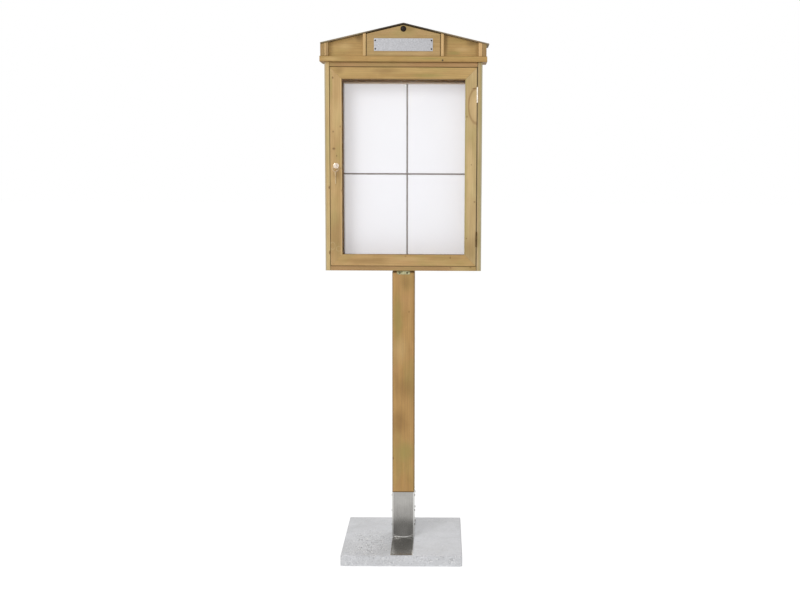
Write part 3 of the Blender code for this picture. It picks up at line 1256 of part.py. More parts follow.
def build():
    clear_scene()
    parts = new_collection("information_display_stand")
    cutters = new_collection("cutters")
    look = {
        "concrete": surface("cast_concrete", (0.58, 0.58, 0.57), 0.9),
        "post_wood": surface("stained_pine_post", (0.42, 0.27, 0.10), 0.6),
        "pine": surface("stained_pine", (0.50, 0.34, 0.14), 0.6),
        "plywood": surface("plywood", (0.45, 0.30, 0.13), 0.7),
        "roof": surface("dark_roof_board", (0.10, 0.08, 0.05), 0.8),
        "dark_plug": surface("dark_brown_plug", (0.05, 0.02, 0.01), 0.4),
        "stainless": surface("stainless_sheet", (0.55, 0.54, 0.52), 0.35, 1.0),
        "zinc": surface("zinc_plated_steel", (0.60, 0.60, 0.58), 0.4, 1.0),
        "zinc_plate": surface("zinc_sheet", (0.55, 0.56, 0.58), 0.5, 1.0),
        "nickel": surface("nickel_plate", (0.75, 0.72, 0.68), 0.2, 1.0),
        "brass": surface("brass_plug", (0.75, 0.68, 0.55), 0.25, 1.0),
        "aluminium": surface("anodised_aluminium", (0.40, 0.37, 0.34), 0.4, 1.0),
        "white_board": surface("white_faced_board", (0.82, 0.82, 0.83), 0.5),
        "paper": surface("white_paper", (0.86, 0.86, 0.88), 0.8),
        "glass": surface("clear_glass", (1.0, 1.0, 1.0), 0.02, 0.0, 1.0),
    }
    build_base(parts, cutters, look)
    build_post(parts, cutters, look)
    build_shoe("front_shoe", -1, parts, cutters, look)
    build_shoe("rear_shoe", 1, parts, cutters, look)
    build_saddle(parts, cutters, look)
    case = build_case(parts, cutters, look)
    panel = build_gable(parts, cutters, look)
    build_roof(parts, look)
    build_sign(panel, parts, cutters, look)
    build_display(parts, look)
    door, door_tools = build_door(parts, cutters, look)
    hinge_pieces, hinge_tools = build_hinges(door["door_right_stile"], case["case_right_side"], parts,
                                             cutters, look)
    (housing, nut, lock_hole), turning = build_lock(door["door_left_stile"], parts, cutters, look)
    build_keeper(case["case_left_side"], parts, cutters, look)
    key, ring, spare = build_keys(parts, look)

    door_axis = pivot("door_axis", (HINGE_X, HINGE_Y, (DOOR_BOTTOM + DOOR_TOP) / 2), parts)
    lock_axis = pivot("lock_axis", (LOCK_X, LOCK_FACE, LOCK_Z), parts)
    ring_axis = pivot("ring_axis", (LOCK_X, RING_Y, RING_TOP), parts)
    spare_axis = pivot("spare_key_axis", (LOCK_X, RING_Y, RING_BOTTOM), parts)
    hang(spare_axis, [spare])
    hang(ring_axis, [ring, spare_axis])
    hang(key, [ring_axis])
    hang(lock_axis, [*turning, key])
    hang(door_axis, [*door.values(), *door_tools, *hinge_pieces, *hinge_tools, housing, nut, lock_hole,
                     lock_axis])


build()
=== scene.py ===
import math
import bmesh
import bpy
from mathutils import Matrix, Vector


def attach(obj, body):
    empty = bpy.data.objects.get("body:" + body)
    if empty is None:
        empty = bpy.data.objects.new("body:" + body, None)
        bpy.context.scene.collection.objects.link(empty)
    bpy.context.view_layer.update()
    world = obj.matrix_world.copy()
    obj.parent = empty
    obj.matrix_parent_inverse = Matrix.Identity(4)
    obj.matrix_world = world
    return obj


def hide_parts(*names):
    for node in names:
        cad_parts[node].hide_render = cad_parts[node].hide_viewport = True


# Information display stand: a glazed, lockable timber case under a small gable, on a post and a slab.
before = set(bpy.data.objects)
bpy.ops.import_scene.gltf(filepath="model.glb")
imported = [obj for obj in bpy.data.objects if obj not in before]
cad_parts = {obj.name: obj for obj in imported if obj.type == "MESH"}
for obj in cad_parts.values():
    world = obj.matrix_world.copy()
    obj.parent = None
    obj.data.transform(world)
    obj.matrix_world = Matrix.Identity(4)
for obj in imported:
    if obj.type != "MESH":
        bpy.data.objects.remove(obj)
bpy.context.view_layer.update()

# Camera: stands a little right of the stand and looks slightly down on it, with a long lens. The frame is
# shifted to the left by no more than the photograph's framing needs.


def placed(name, data):
    """A new object in the scene."""
    made = bpy.data.objects.new(name, data)
    bpy.context.scene.collection.objects.link(made)
    return made


EYE = (0.1281, -3.7255, 1.33)
LOOK_DOWN, TILT = 0.1043, 0.0043
lens = bpy.data.cameras.new("camera")
lens.lens = 49.92
lens.sensor_width = 36.0
lens.shift_x = -0.0519
lens.shift_y = -0.03
camera = placed("camera", lens)
camera.matrix_world = (Matrix.Translation(EYE) @ Matrix.Rotation(math.pi / 2 - LOOK_DOWN, 4, "X")
                       @ Matrix.Rotation(TILT, 4, "Z"))
bpy.context.scene.camera = camera
bpy.context.scene.view_settings.view_transform = "Standard"

# White studio: a pale floor that runs out of sight, an even white surround, a broad lamp at the upper left, a
# low front lamp that reaches into the case and a soft one behind. The surround shows white behind the object
# and in its metal and glass, and lights it less.


def linear(code):
    """An sRGB hex colour as the linear values that a shader takes."""
    parts = [int(code[place:place + 2], 16) / 255 for place in (1, 3, 5)]
    return [part / 12.92 if part <= 0.04045 else ((part + 0.055) / 1.055) ** 2.4 for part in parts] + [1.0]


def add(tree, kind, links=None, **settings):
    """Adds a node with its settings, and gives its inputs values, sockets or other nodes' results."""
    made = tree.nodes.new(kind)
    for name, value in settings.items():
        setattr(made, name, value)
    usable = [socket for socket in made.inputs if socket.enabled]
    for name, value in (links or {}).items():
        if isinstance(name, int):
            fed = usable[name]
        else:
            fed = next(socket for socket in usable if socket.name == name)
        if isinstance(value, bpy.types.Node):
            value = next(socket for socket in value.outputs if socket.enabled)
        if isinstance(value, bpy.types.NodeSocket):
            tree.links.new(value, fed)
        else:
            fed.default_value = value
    return made


def maths(tree, what, *values):
    """The result of a sum on values or sockets."""
    return add(tree, "ShaderNodeMath", dict(enumerate(values)), operation=what)


def remap(tree, value, start=0.0, end=1.0, low=0.0, high=1.0, curve="LINEAR"):
    """Low up to a start, high from an end on, and in between by a curve."""
    return add(tree, "ShaderNodeMapRange", {"Value": value, "From Min": start, "From Max": end,
                                            "To Min": low, "To Max": high}, interpolation_type=curve)


def seen_white(tree):
    """One for what the camera sees, straight, in a reflection or through glass, and none for other light."""
    ray = add(tree, "ShaderNodeLightPath")
    seen = maths(tree, "MAXIMUM", ray.outputs["Is Camera Ray"], ray.outputs["Is Glossy Ray"])
    return maths(tree, "MAXIMUM", seen, ray.outputs["Is Transmission Ray"])


SURROUND_LIGHT = 0.40
world = bpy.data.worlds.new("white surround")
bpy.context.scene.world = world
world.use_nodes = True
tree = world.node_tree
tree.nodes.clear()
level = remap(tree, seen_white(tree), low=SURROUND_LIGHT)
glow = add(tree, "ShaderNodeBackground", {"Color": linear("#ffffff"), "Strength": level})
add(tree, "ShaderNodeOutputWorld", {"Surface": glow})

FLOOR_HALF = 30.0
FLOOR_GLOW, GLOW_SHARE = 1.25, 0.72
floor_paint = bpy.data.materials.new("white studio floor")
floor_paint.use_nodes = True
tree = floor_paint.node_tree
tree.nodes.clear()
share = maths(tree, "MULTIPLY", seen_white(tree), GLOW_SHARE)
paint = add(tree, "ShaderNodeBsdfDiffuse", {"Color": linear("#f7f7f7")})
glow = add(tree, "ShaderNodeEmission", {"Color": linear("#ffffff"), "Strength": FLOOR_GLOW})
glowing_paint = add(tree, "ShaderNodeMixShader", {0: share, 1: paint, 2: glow})
add(tree, "ShaderNodeOutputMaterial", {"Surface": glowing_paint})
mesh = bpy.data.meshes.new("studio_floor")
mesh.from_pydata([(-FLOOR_HALF, -FLOOR_HALF, 0), (FLOOR_HALF, -FLOOR_HALF, 0),
                  (FLOOR_HALF, FLOOR_HALF, 0), (-FLOOR_HALF, FLOOR_HALF, 0)], [], [(0, 1, 2, 3)])
mesh.materials.append(floor_paint)
studio_floor = placed("studio_floor", mesh)


def lamp(name, kind, size, energy, place, aim):
    """A white lamp at a place, turned to another."""
    light = bpy.data.lights.new(name, kind)
    light.energy = energy
    if kind == "AREA":
        light.shape, light.size = "DISK", size
    else:
        light.angle = size
    standing = placed(name, light)
    facing = (Vector(aim) - Vector(place)).to_track_quat("-Z", "Y").to_matrix().to_4x4()
    standing.matrix_world = Matrix.Translation(place) @ facing
    return standing


# The front lamp is left out of reflections, in which it would burn out the steel and the sign plate.
STAND_MIDDLE, CASE_MIDDLE = (0.0, 0.0, 1.1), (0.0, 0.0, 1.3)
FRONT_ACROSS, FRONT_UP, FRONT_AWAY = math.radians(-2.0), math.radians(5.5), 4.0
lamp("key_softbox", "AREA", 2.0, 40.0, (-1.7, -3.0, 3.0), STAND_MIDDLE)
lamp("rear_softbox", "AREA", 2.0, 35.0, (1.4, 3.4, 2.6), STAND_MIDDLE)
front_lamp = lamp("front_lamp", "SUN", math.radians(2.5), 1.2, (
    FRONT_AWAY * math.sin(FRONT_ACROSS), -FRONT_AWAY * math.cos(FRONT_ACROSS),
    CASE_MIDDLE[2] + FRONT_AWAY * math.tan(FRONT_UP)), CASE_MIDDLE)
front_lamp.visible_glossy = False

# Slab: grey concrete cast in a steel mould, so its faces are smooth, with air holes and dented scratches,
# most of them near the front left. Its top is painted lighter than its sides as painted light, and its sides
# are painted darker as painted shade, less so along their lowest 10 mm.


def surface(name, roughness, metallic=0.0):
    """A new material, its nodes, its shader and the place of a point in the object."""
    material = bpy.data.materials.new(name)
    material.use_nodes = True
    shader = material.node_tree.nodes["Principled BSDF"]
    shader.inputs["Roughness"].default_value = roughness
    shader.inputs["Metallic"].default_value = metallic
    here = add(material.node_tree, "ShaderNodeTexCoord").outputs["Object"]
    return material, material.node_tree, shader, here


def vectors(tree, what, *values):
    """The result of a sum on points or colours."""
    return add(tree, "ShaderNodeVectorMath", dict(enumerate(values)), operation=what)


def blend(tree, share, under, over):
    """A share of one colour over another."""
    return add(tree, "ShaderNodeMix", {"Factor": share, "A": under, "B": over}, data_type="RGBA")


def noise(tree, place, size, detail, **more):
    """Noise in clouds of a real size."""
    return add(tree, "ShaderNodeTexNoise", {"Vector": place, "Scale": 1 / size, "Detail": detail, **more})


def lay(tree, shader, tone, relief, strength, depth, sheen=None, roughness=()):
    """Gives a shader its tone and relief and, where its sheen varies, the roughness at least and most."""
    tree.links.new(next(socket for socket in tone.outputs if socket.enabled), shader.inputs["Base Color"])
    if sheen:
        least, most = roughness
        rough = remap(tree, sheen, low=least, high=most)
        tree.links.new(rough.outputs[0], shader.inputs["Roughness"])
    bump = add(tree, "ShaderNodeBump", {"Height": relief, "Strength": strength, "Distance": depth})
    tree.links.new(bump.outputs[0], shader.inputs["Normal"])


def dress(material, *names):
    """Gives CAD nodes their finish."""
    for name in names:
        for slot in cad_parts[name].material_slots:
            slot.material = material


# Concrete: a matt grey that clouds over 70 mm, with the sparkle of 2.4 mm sand.
CEMENT_CLOUD, GRIT = 0.07143, 0.0024
concrete, tree, shader, here = surface("concrete cast in a steel mould", 0.82)
cloud = noise(tree, here, CEMENT_CLOUD, 5.0, Roughness=0.62)
cloud = remap(tree, cloud, 0.36, 0.64)
tone = blend(tree, cloud, linear("#cfd0d2"), linear("#dbdcdf"))
sand = noise(tree, here, GRIT, 3.0)
grit = remap(tree, sand, 0.3, 0.7, 0.93, 1.06)
tone = vectors(tree, "MULTIPLY", tone, grit)

# Wear: most at the front left of the top, where feet and tools have struck it, half of that along the front
# face, and a little everywhere.
WORN_MIDDLE, WORN_REACH, FRONT_EDGE = (-0.110, -0.085, 0.0), (0.085, 0.140), (-0.172, -0.190)
FRONT_WEAR, LEAST_WEAR = 0.50, 0.18
worn = vectors(tree, "SUBTRACT", here, WORN_MIDDLE)
worn = vectors(tree, "MULTIPLY", worn, (1 / WORN_REACH[0], 1 / WORN_REACH[1], 0.0))
worn = vectors(tree, "LENGTH", worn)
worn = remap(tree, worn.outputs["Value"], 0.5, 1.3, 1.0, 0.0)
spot = add(tree, "ShaderNodeSeparateXYZ", {0: here})
edge = remap(tree, spot.outputs["Y"], *FRONT_EDGE, high=FRONT_WEAR)
worn = maths(tree, "MAXIMUM", worn, edge)
worn = maths(tree, "MAXIMUM", worn, LEAST_WEAR)

# Dents: short curved strokes painted dark as their shade, each with a painted highlight on its lower right
# lip.
STROKE, LIP_HIGHLIGHT_OFFSET = 0.0085, (0.0022, -0.0026, -0.0022)
strokes = noise(tree, here, STROKE, 2.0, Roughness=0.6, Distortion=1.6)
lip = vectors(tree, "SUBTRACT", here, LIP_HIGHLIGHT_OFFSET)
lip = noise(tree, lip, STROKE, 2.0, Roughness=0.6, Distortion=1.6)
lip = remap(tree, lip, 0.575, 0.62)
lip = maths(tree, "MULTIPLY", lip, worn)
tone = blend(tree, lip, tone, linear("#ffffff"))
dent_shade = remap(tree, strokes, 0.57, 0.62)
dent_shade = maths(tree, "MULTIPLY", dent_shade, worn)

# Air holes: round pits left by bubbles at the mould, of uneven size. Pits and dents are sunk in the relief
# and painted dark as shade.
AIR_HOLE_SPACING, AIR_HOLE_CLUSTER, SUNK_SHADE_DARK = 0.013, 0.025, 0.50
LOWER_ARRIS, TOP_EDGE, SIDE_PAINTED_SHADE, TOP_PAINTED_LIGHT = (0.002, 0.010), (0.0350, 0.0358), (0.95, 0.88), 0.44
bubbles = add(tree, "ShaderNodeTexVoronoi", {"Vector": here, "Scale": 1 / AIR_HOLE_SPACING}, feature="F1")
size = noise(tree, here, AIR_HOLE_CLUSTER, 0.0)
size = remap(tree, size, 0.40, 0.75, high=0.22)
size = maths(tree, "MULTIPLY", size, worn)
hole = maths(tree, "LESS_THAN", bubbles.outputs["Distance"], size)
sunk = maths(tree, "MAXIMUM", dent_shade, hole)
shade = remap(tree, sunk, low=1.0, high=SUNK_SHADE_DARK)
tone = vectors(tree, "MULTIPLY", tone, shade)
# Painted light and shade: the sides are painted darker, less so along their lowest 10 mm, and the top is
# painted lighter.
painted_light = remap(tree, spot.outputs["Z"], *LOWER_ARRIS, *SIDE_PAINTED_SHADE)
painted_top_light = remap(tree, spot.outputs["Z"], *TOP_EDGE, high=TOP_PAINTED_LIGHT)
painted_light = maths(tree, "ADD", painted_light, painted_top_light)
tone = vectors(tree, "MULTIPLY", tone, painted_light)
relief = maths(tree, "SUBTRACT", sand, sunk)
lay(tree, shader, tone, relief, 0.5, 0.0006)
dress(concrete, "concrete_base")

# Shoes: two bent stainless sheets that wrap the post's foot and turn out flat on the slab. The sheet is cold
# rolled and brushed; its corners and the foot's pressed-up rims catch the light and its hollows mirror dark.
POST_MIDDLE_Y = 0.020
SHOE_SHEET, SHOE_EDGE = 0.0015, 0.0004
SHOE_OUTER_HALF, SHOE_CORNER = 0.0385, 0.0045
SHOE_TOP, SHOE_FLOOR, FLANK_LIFT = 0.1960, 0.0363, 0.0002
SHOE_BEND, SHOE_SEAM = 0.0042, 0.003
STRIP_HALF, STRIP_STEPS, TURN_STEPS = 0.0330, 8, 8
UPRIGHT_ROWS = (0.1600, 0.1200, 0.0900, 0.0820, 0.0740, 0.0660, 0.0590, 0.0530, 0.0480, 0.0440)
# The strip bellies forward above its bend, and the foot's rims rise outwards, fully over most of its length.
BOW, BOW_HEIGHT = 0.0035, 0.045
FRONT_FOOT, REAR_FOOT = 0.2135, 0.1735
FOOT_ROWS = (0.004, 0.02, 0.05, 0.09, 0.13)
FOOT_RIM = ((0.0340, 0.0001), (0.0350, 0.0005), (0.0360, 0.0011), (0.0370, 0.0015))
RIM_LIFT = (0.4, 0.8, 1.0, 1.0, 1.0, 0.2)


def soften(mesh, angle=35):
    """Smooth shading that keeps the sharp edges."""
    mesh.shade_smooth()
    mesh.set_sharp_from_angle(angle=math.radians(angle))


def as_mesh(name, made):
    """A plain mesh of what was built."""
    mesh = bpy.data.meshes.new(name)
    made.to_mesh(mesh)
    made.free()
    return mesh


def finished_mesh(piece):
    """A plain mesh of an object with its modifiers worked out."""
    bpy.context.view_layer.update()
    return bpy.data.meshes.new_from_object(piece.evaluated_get(bpy.context.evaluated_depsgraph_get()))


def settle(name, made, body, slot, material, *nodes):
    """Makes a mesh a piece that rides on a body and stands for CAD nodes, which it hides; the slot it is
    given is not used.
    """
    made.materials.clear()
    made.materials.append(material)
    piece = placed(name, made)
    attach(piece, body)
    if nodes:
        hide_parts(*nodes)
    return piece


def grid(made, rows):
    """Adds the faces between rows of points."""
    verts = [[made.verts.new(point) for point in row] for row in rows]
    for low, high in zip(verts, verts[1:]):
        for a, b, c, d in zip(low, low[1:], high[1:], high):
            made.faces.new((a, b, c, d))


def shoe_mesh(name, reach, turned_by):
    """A shoe's middle surface: a bowed strip that bends out to the foot, two flanks round the post, and the
    foot's rims. It is turned to its side of the post and gets its wall and soft edges."""
    half = SHOE_OUTER_HALF - SHOE_SHEET / 2
    corner = SHOE_CORNER - SHOE_SHEET / 2
    level = SHOE_FLOOR + SHOE_SHEET / 2
    bend_top = level + SHOE_BEND
    across = [STRIP_HALF * step / STRIP_STEPS for step in range(-STRIP_STEPS, STRIP_STEPS + 1)]
    upright = [SHOE_TOP, *UPRIGHT_ROWS, bend_top]

    def bow(x, z):
        fade = max(0.0, 1 - (z - bend_top) / BOW_HEIGHT) ** 2
        return BOW * (1 - (x / STRIP_HALF) ** 2) * fade

    rows = [[(x, -half - bow(x, z), z) for x in across] for z in upright]
    for step in range(1, TURN_STEPS + 1):
        turn = math.pi / 2 * step / TURN_STEPS
        out = SHOE_BEND * (1 - math.cos(turn))
        drop = SHOE_BEND * math.sin(turn)
        rows.append([(x, -half - bow(x, bend_top) - out, bend_top - drop) for x in across])
    toe = rows[-1]
    foot_ends = [*FOOT_ROWS, reach]
    for end in foot_ends:
        share = (end - foot_ends[0]) / (reach - foot_ends[0])
        rows.append([(x, (y - foot_ends[0]) * (1 - share) - reach * share, z) for x, y, z in toe])
    made = bmesh.new()
    grid(made, rows)
    foot_rows = rows[-len(foot_ends):]
    for side, edge in ((-1, 0), (1, -1)):
        grid(made, [[row[edge], *((side * x, row[edge][1], row[edge][2] + rise * lift)
                                  for x, rise in FOOT_RIM)]
                    for row, lift in zip(foot_rows, RIM_LIFT)])
        flank = [(side * STRIP_HALF, -half), (side * (half - corner), -half)]
        for step in range(1, TURN_STEPS + 1):
            turn = math.pi / 2 * step / TURN_STEPS
            flank.append((side * (half - corner + corner * math.sin(turn)),
                          -half + corner - corner * math.cos(turn)))
        flank.append((side * half, -SHOE_SEAM / 2))
        grid(made, [[(x, y, z) for x, y in flank] for z in [*upright, SHOE_FLOOR + FLANK_LIFT]])
    bmesh.ops.remove_doubles(made, verts=made.verts, dist=1e-6)
    bmesh.ops.transform(made, verts=made.verts, matrix=Matrix.Translation((0, POST_MIDDLE_Y, 0))
                        @ Matrix.Rotation(turned_by, 4, "Z"))
    bmesh.ops.recalc_face_normals(made, faces=made.faces)
    return walled(as_mesh(name, made), SHOE_SHEET, SHOE_EDGE)


def walled(mesh, sheet, edge):
    """The mesh given a wall, half to each side, and small round edges."""
    holder = placed("holder", mesh)
    wall = holder.modifiers.new("wall", "SOLIDIFY")
    wall.thickness, wall.offset, wall.use_even_offset = sheet, 0.0, True
    rounding = holder.modifiers.new("edge", "BEVEL")
    rounding.width, rounding.segments, rounding.angle_limit = edge, 2, math.radians(50)
    result = finished_mesh(holder)
    bpy.data.objects.remove(holder)
    soften(result)
    return result


# Brushed steel: scratches 0.7 mm wide, the finest that show in the render, and hand smudges 33 mm across.
SCRATCH_WIDE, SCRATCH_LONG, SMUDGE = 0.0007, 0.055, 0.03333
STEEL_ROUGH = 0.22
# Painted reflection and highlights: the sheet is painted darker towards the slab as a dark reflection, and
# its rims and the crease of its bend are painted bright.
DARK_REFLECTION_FROM, DARK_REFLECTION_TO, UPRIGHT_DARK_REFLECTION = 0.045, 0.175, 0.54
FOOT_UP_TO, FOOT_DARK_REFLECTION = 0.0385, 0.78
RIM_FROM, RIM_FADE = 0.0332, 0.0012
CREASE_LOW, CREASE_SWEEP, CREASE_WIDE = 0.0392, 6.5, (0.0005, 0.0013)
HIGHLIGHT_SHARE = 0.75


def brushed_steel(name, pale, dull):
    """Brushed sheet: hair-fine scratches that run up the upright and out along the foot, and hand smudges. It
    is painted darker towards the slab as a painted dark reflection, and its rims and the crease of its bend
    carry painted highlights."""
    material, tree, shader, here = surface(name, STEEL_ROUGH, 1.0)
    scratches = add(tree, "ShaderNodeMapping", {"Vector": here, "Scale": (1 / SCRATCH_WIDE, 1 / SCRATCH_LONG,
                                                                          1 / SCRATCH_LONG)})
    scratches = noise(tree, scratches, 1.0, 2.0)
    smudge = noise(tree, here, SMUDGE, 3.0)
    sheen = maths(tree, "ADD", scratches, smudge)
    sheen = remap(tree, sheen, 0.75, 1.25)
    tone = blend(tree, sheen, linear(dull), linear(pale))
    spot = add(tree, "ShaderNodeSeparateXYZ", {0: here})
    upright = remap(tree, spot.outputs["Z"], DARK_REFLECTION_FROM, DARK_REFLECTION_TO, UPRIGHT_DARK_REFLECTION, 1.0, curve="SMOOTHSTEP")
    foot = remap(tree, spot.outputs["Z"], FOOT_UP_TO, DARK_REFLECTION_FROM, FOOT_DARK_REFLECTION, 0.0)
    painted_dark_reflection = maths(tree, "MAXIMUM", upright, foot)
    tone = vectors(tree, "MULTIPLY", tone, painted_dark_reflection)
    across = maths(tree, "ABSOLUTE", spot.outputs["X"])
    rim = remap(tree, across, RIM_FROM, RIM_FROM + RIM_FADE)
    swept = maths(tree, "MULTIPLY", across, across)
    swept = maths(tree, "MULTIPLY_ADD", swept, CREASE_SWEEP, CREASE_LOW)
    crease = maths(tree, "SUBTRACT", spot.outputs["Z"], swept)
    crease = maths(tree, "ABSOLUTE", crease)
    crease = remap(tree, crease, *CREASE_WIDE, 1.0, 0.0)
    painted_light = maths(tree, "MAXIMUM", rim, crease)
    painted_light = maths(tree, "MULTIPLY", painted_light, HIGHLIGHT_SHARE)
    tone = blend(tree, painted_light, tone, linear("#dcdbd8"))
    lay(tree, shader, tone, scratches, 0.2, 0.00004, sheen, (STEEL_ROUGH + 0.06, STEEL_ROUGH - 0.06))
    return material


shoe_steel = brushed_steel("stainless steel sheet, brushed", "#b0aeaa", "#a19f9b")
for name, node, reach, turned_by in (("front_shoe_bent", "front_shoe", FRONT_FOOT, 0.0),
                                     ("rear_shoe_bent", "rear_shoe", REAR_FOOT, math.pi)):
    settle(name, shoe_mesh(name, reach, turned_by), "stand", "stainless_sheet", shoe_steel, node)


# Screws of the shoes: stainless pan heads with a cross recess, three to each side of each shoe.


def turned(name, outline, steps=32, closed=False):
    """A shell turned about Z from an outline of (radius, height) points, which starts and ends on the axis
    or, where closed, goes round a ring's section."""
    made = bmesh.new()
    points = [made.verts.new((radius, 0.0, height)) for radius, height in outline]
    pairs = list(zip(points, points[1:])) + ([(points[-1], points[0])] if closed else [])
    edges = [made.edges.new(pair) for pair in pairs]
    bmesh.ops.spin(made, geom=points + edges, cent=(0, 0, 0), axis=(0, 0, 1), angle=2 * math.pi, steps=steps,
                   use_merge=True)
    bmesh.ops.remove_doubles(made, verts=made.verts, dist=1e-6)
    bmesh.ops.recalc_face_normals(made, faces=made.faces)
    mesh = as_mesh(name, made)
    soften(mesh, 40)
    return mesh


def cut(mesh, cutters):
    """The mesh less each cutter mesh."""
    holder = placed(mesh.name, mesh)
    helpers = []
    for cutter in cutters:
        helper = placed("cutter", cutter)
        modifier = holder.modifiers.new("cut", "BOOLEAN")
        modifier.operation, modifier.solver, modifier.object = "DIFFERENCE", "EXACT", helper
        helpers.append(helper)
    result = finished_mesh(holder)
    for gone in [holder, *helpers]:
        bpy.data.objects.remove(gone)
    return result


def block(low, high):
    """A rectangular block as a mesh."""
    made = bmesh.new()
    bmesh.ops.create_cube(made, size=1.0)
    middle = [(a + b) / 2 for a, b in zip(low, high)]
    size = [b - a for a, b in zip(low, high)]
    for vertex in made.verts:
        vertex.co = Vector([m + s * c for m, s, c in zip(middle, size, vertex.co)])
    return as_mesh("block", made)


def screw_head(name, radius, height):
    """A domed head with a cross recess, standing on z = 0."""
    rim, rise = height * 0.35, height * 0.65
    dome = [(radius * math.cos(math.radians(a)), rim + rise * math.sin(math.radians(a)))
            for a in range(0, 90, 15)]
    head = turned(name, [(0, 0), (radius, 0), *dome, (0, height)], 20)
    arm, half_wide, floor = radius * 0.55, radius * 0.12, height * 0.45
    return cut(head, [block((-arm, -half_wide, floor), (arm, half_wide, height * 2)),
                      block((-half_wide, -arm, floor), (half_wide, arm, height * 2))])


def grown(name, mesh, group, values):
    """A piece made by a Geometry Nodes tree with its inputs' values, as a plain mesh."""
    piece = placed(name, mesh)
    modifier = piece.modifiers.new("tree", "NODES")
    modifier.node_group = group
    for item in group.interface.items_tree:
        if item.in_out == "INPUT" and item.name in values:
            modifier[item.identifier] = values[item.name]
    result = finished_mesh(piece)
    piece.modifiers.clear()
    piece.data = result
    return piece


def named_inputs(group, inputs, result):
    """Gives a Geometry Nodes tree its named inputs and its result, and the node that the inputs come from."""
    for label, kind in inputs:
        group.interface.new_socket(label, in_out="INPUT", socket_type="NodeSocket" + kind)
    group.interface.new_socket(result, in_out="OUTPUT", socket_type="NodeSocketGeometry")
    return add(group, "NodeGroupInput")


def fasteners(name, body, head, material, places):
    """One mesh of equal heads, each at its place, facing its way and turned as the screwdriver left it."""
    spots = bpy.data.meshes.new(name)
    spots.from_pydata([place for place, _ in places], [], [])
    way = spots.attributes.new("way", "FLOAT_VECTOR", "POINT")
    way.data.foreach_set("vector", [part for _, facing in places for part in facing])
    model = placed(name + "_head", head)
    group = bpy.data.node_groups.new(name, "GeometryNodeTree")
    given = named_inputs(group, (("Places", "Geometry"), ("Head", "Object"), ("Finish", "Material"),
                                 ("Size", "Float")), "Fasteners")
    facing = add(group, "GeometryNodeInputNamedAttribute", {"Name": "way"}, data_type="FLOAT_VECTOR")
    aligned = add(group, "FunctionNodeAlignRotationToVector", {"Vector": facing}, axis="Z")
    turn = add(group, "FunctionNodeRandomValue", {"Max": math.pi / 2, "Seed": 7}, data_type="FLOAT")
    spin = add(group, "ShaderNodeCombineXYZ", {"Z": turn})
    turned_heads = add(group, "FunctionNodeRotateRotation", {"Rotation": aligned, "Rotate By": spin},
                       rotation_space="LOCAL")
    shape = add(group, "GeometryNodeObjectInfo", {"Object": given.outputs["Head"]})
    copies = add(group, "GeometryNodeInstanceOnPoints", {
        "Points": given.outputs["Places"], "Instance": shape.outputs["Geometry"],
        "Rotation": turned_heads, "Scale": given.outputs["Size"]})
    real = add(group, "GeometryNodeRealizeInstances", {"Geometry": copies})
    finished = add(group, "GeometryNodeSetMaterial", {"Geometry": real, "Material": given.outputs["Finish"]})
    add(group, "NodeGroupOutput", {"Fasteners": finished})
    piece = grown(name, spots, group, {"Head": model, "Finish": material, "Size": 1.0})
    bpy.data.objects.remove(model)
    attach(piece, body)
    return piece


def plated(name, pale, dull, crystal, roughness, relief=0.00005):
    """Plated metal: even sheen with the faint patchwork of the coating's crystals."""
    material, tree, shader, here = surface(name, roughness, 1.0)
    crystals = add(tree, "ShaderNodeTexVoronoi", {"Vector": here, "Scale": 1 / crystal})
    crystals = add(tree, "ShaderNodeSeparateColor", {0: crystals.outputs["Color"]})
    mist = add(tree, "ShaderNodeTexNoise", {"Vector": here, "Scale": 0.3 / crystal, "Detail": 3.0})
    sheen = maths(tree, "ADD", crystals, mist)
    sheen = remap(tree, sheen, 0.4, 1.6)
    tone = blend(tree, sheen, linear(dull), linear(pale))
    lay(tree, shader, tone, mist, 0.2, relief, sheen, (roughness + 0.08, roughness - 0.05))
    return material


SHOE_SIDE = 0.0383
SHOE_SCREW_RADIUS, SHOE_SCREW_HEIGHT = 0.0040, 0.0022
SHOE_SCREW_LEVELS, SHOE_SCREW_DEPTHS = (0.077, 0.127, 0.181), (-0.0005, 0.0405)
screw_steel = plated("stainless steel, cold formed, dull", "#5c5954", "#45423d", 0.002, 0.4)
fasteners("shoe_screw_heads", "stand",
          screw_head("shoe_screw", SHOE_SCREW_RADIUS, SHOE_SCREW_HEIGHT), screw_steel,
          [((side * SHOE_SIDE, depth, level), (side, 0.0, 0.0)) for side in (-1, 1)
           for depth in SHOE_SCREW_DEPTHS for level in SHOE_SCREW_LEVELS])

# Post: one squared pine stud with eased edges, dipped in honey-brown stain, so its growth rings show faintly
# and the stain lies in uneven clouds. It has weathered darker than the case.

# Marks on a board are given as (x, z, half width, half height, kind) on its front, a LINE running past its
# ends. Each kind has the distance from its middle at which it lies, where it starts to fade and where it
# ends, its strength and its colour.
# Shade and the dark lines along seams and gaps are painted shade; the darkest kind, gap, also marks the
# ledge's dark knot.
MARKS = {
    "knot": (0.0, 0.30, 1.25, 0.80, "#6b4b22"),
    "sweep": (1.0, 0.02, 0.14, 0.45, "#7a5626"),
    "stain": (0.0, 0.10, 1.35, 0.38, "#735327"),
    "pale": (0.0, 0.10, 1.40, 0.22, "#e3c78f"),
    "olive": (0.0, 0.20, 1.30, 0.45, "#8c8547"),
    "dusty": (0.0, 0.30, 1.20, 0.60, "#a39d8a"),
    "shade": (0.0, 0.10, 1.25, 0.55, "#5f4520"),
    "curl": (1.0, 0.02, 0.16, 0.40, "#e8d3a6"),
    "seam_shade": (0.0, 0.45, 1.00, 0.90, "#5a4119"),
    "gap": (0.0, 0.45, 1.00, 0.92, "#2b1f0d"),
}
LINE, MARK_DEPTH = 50.0, (0.0012, 0.0030)
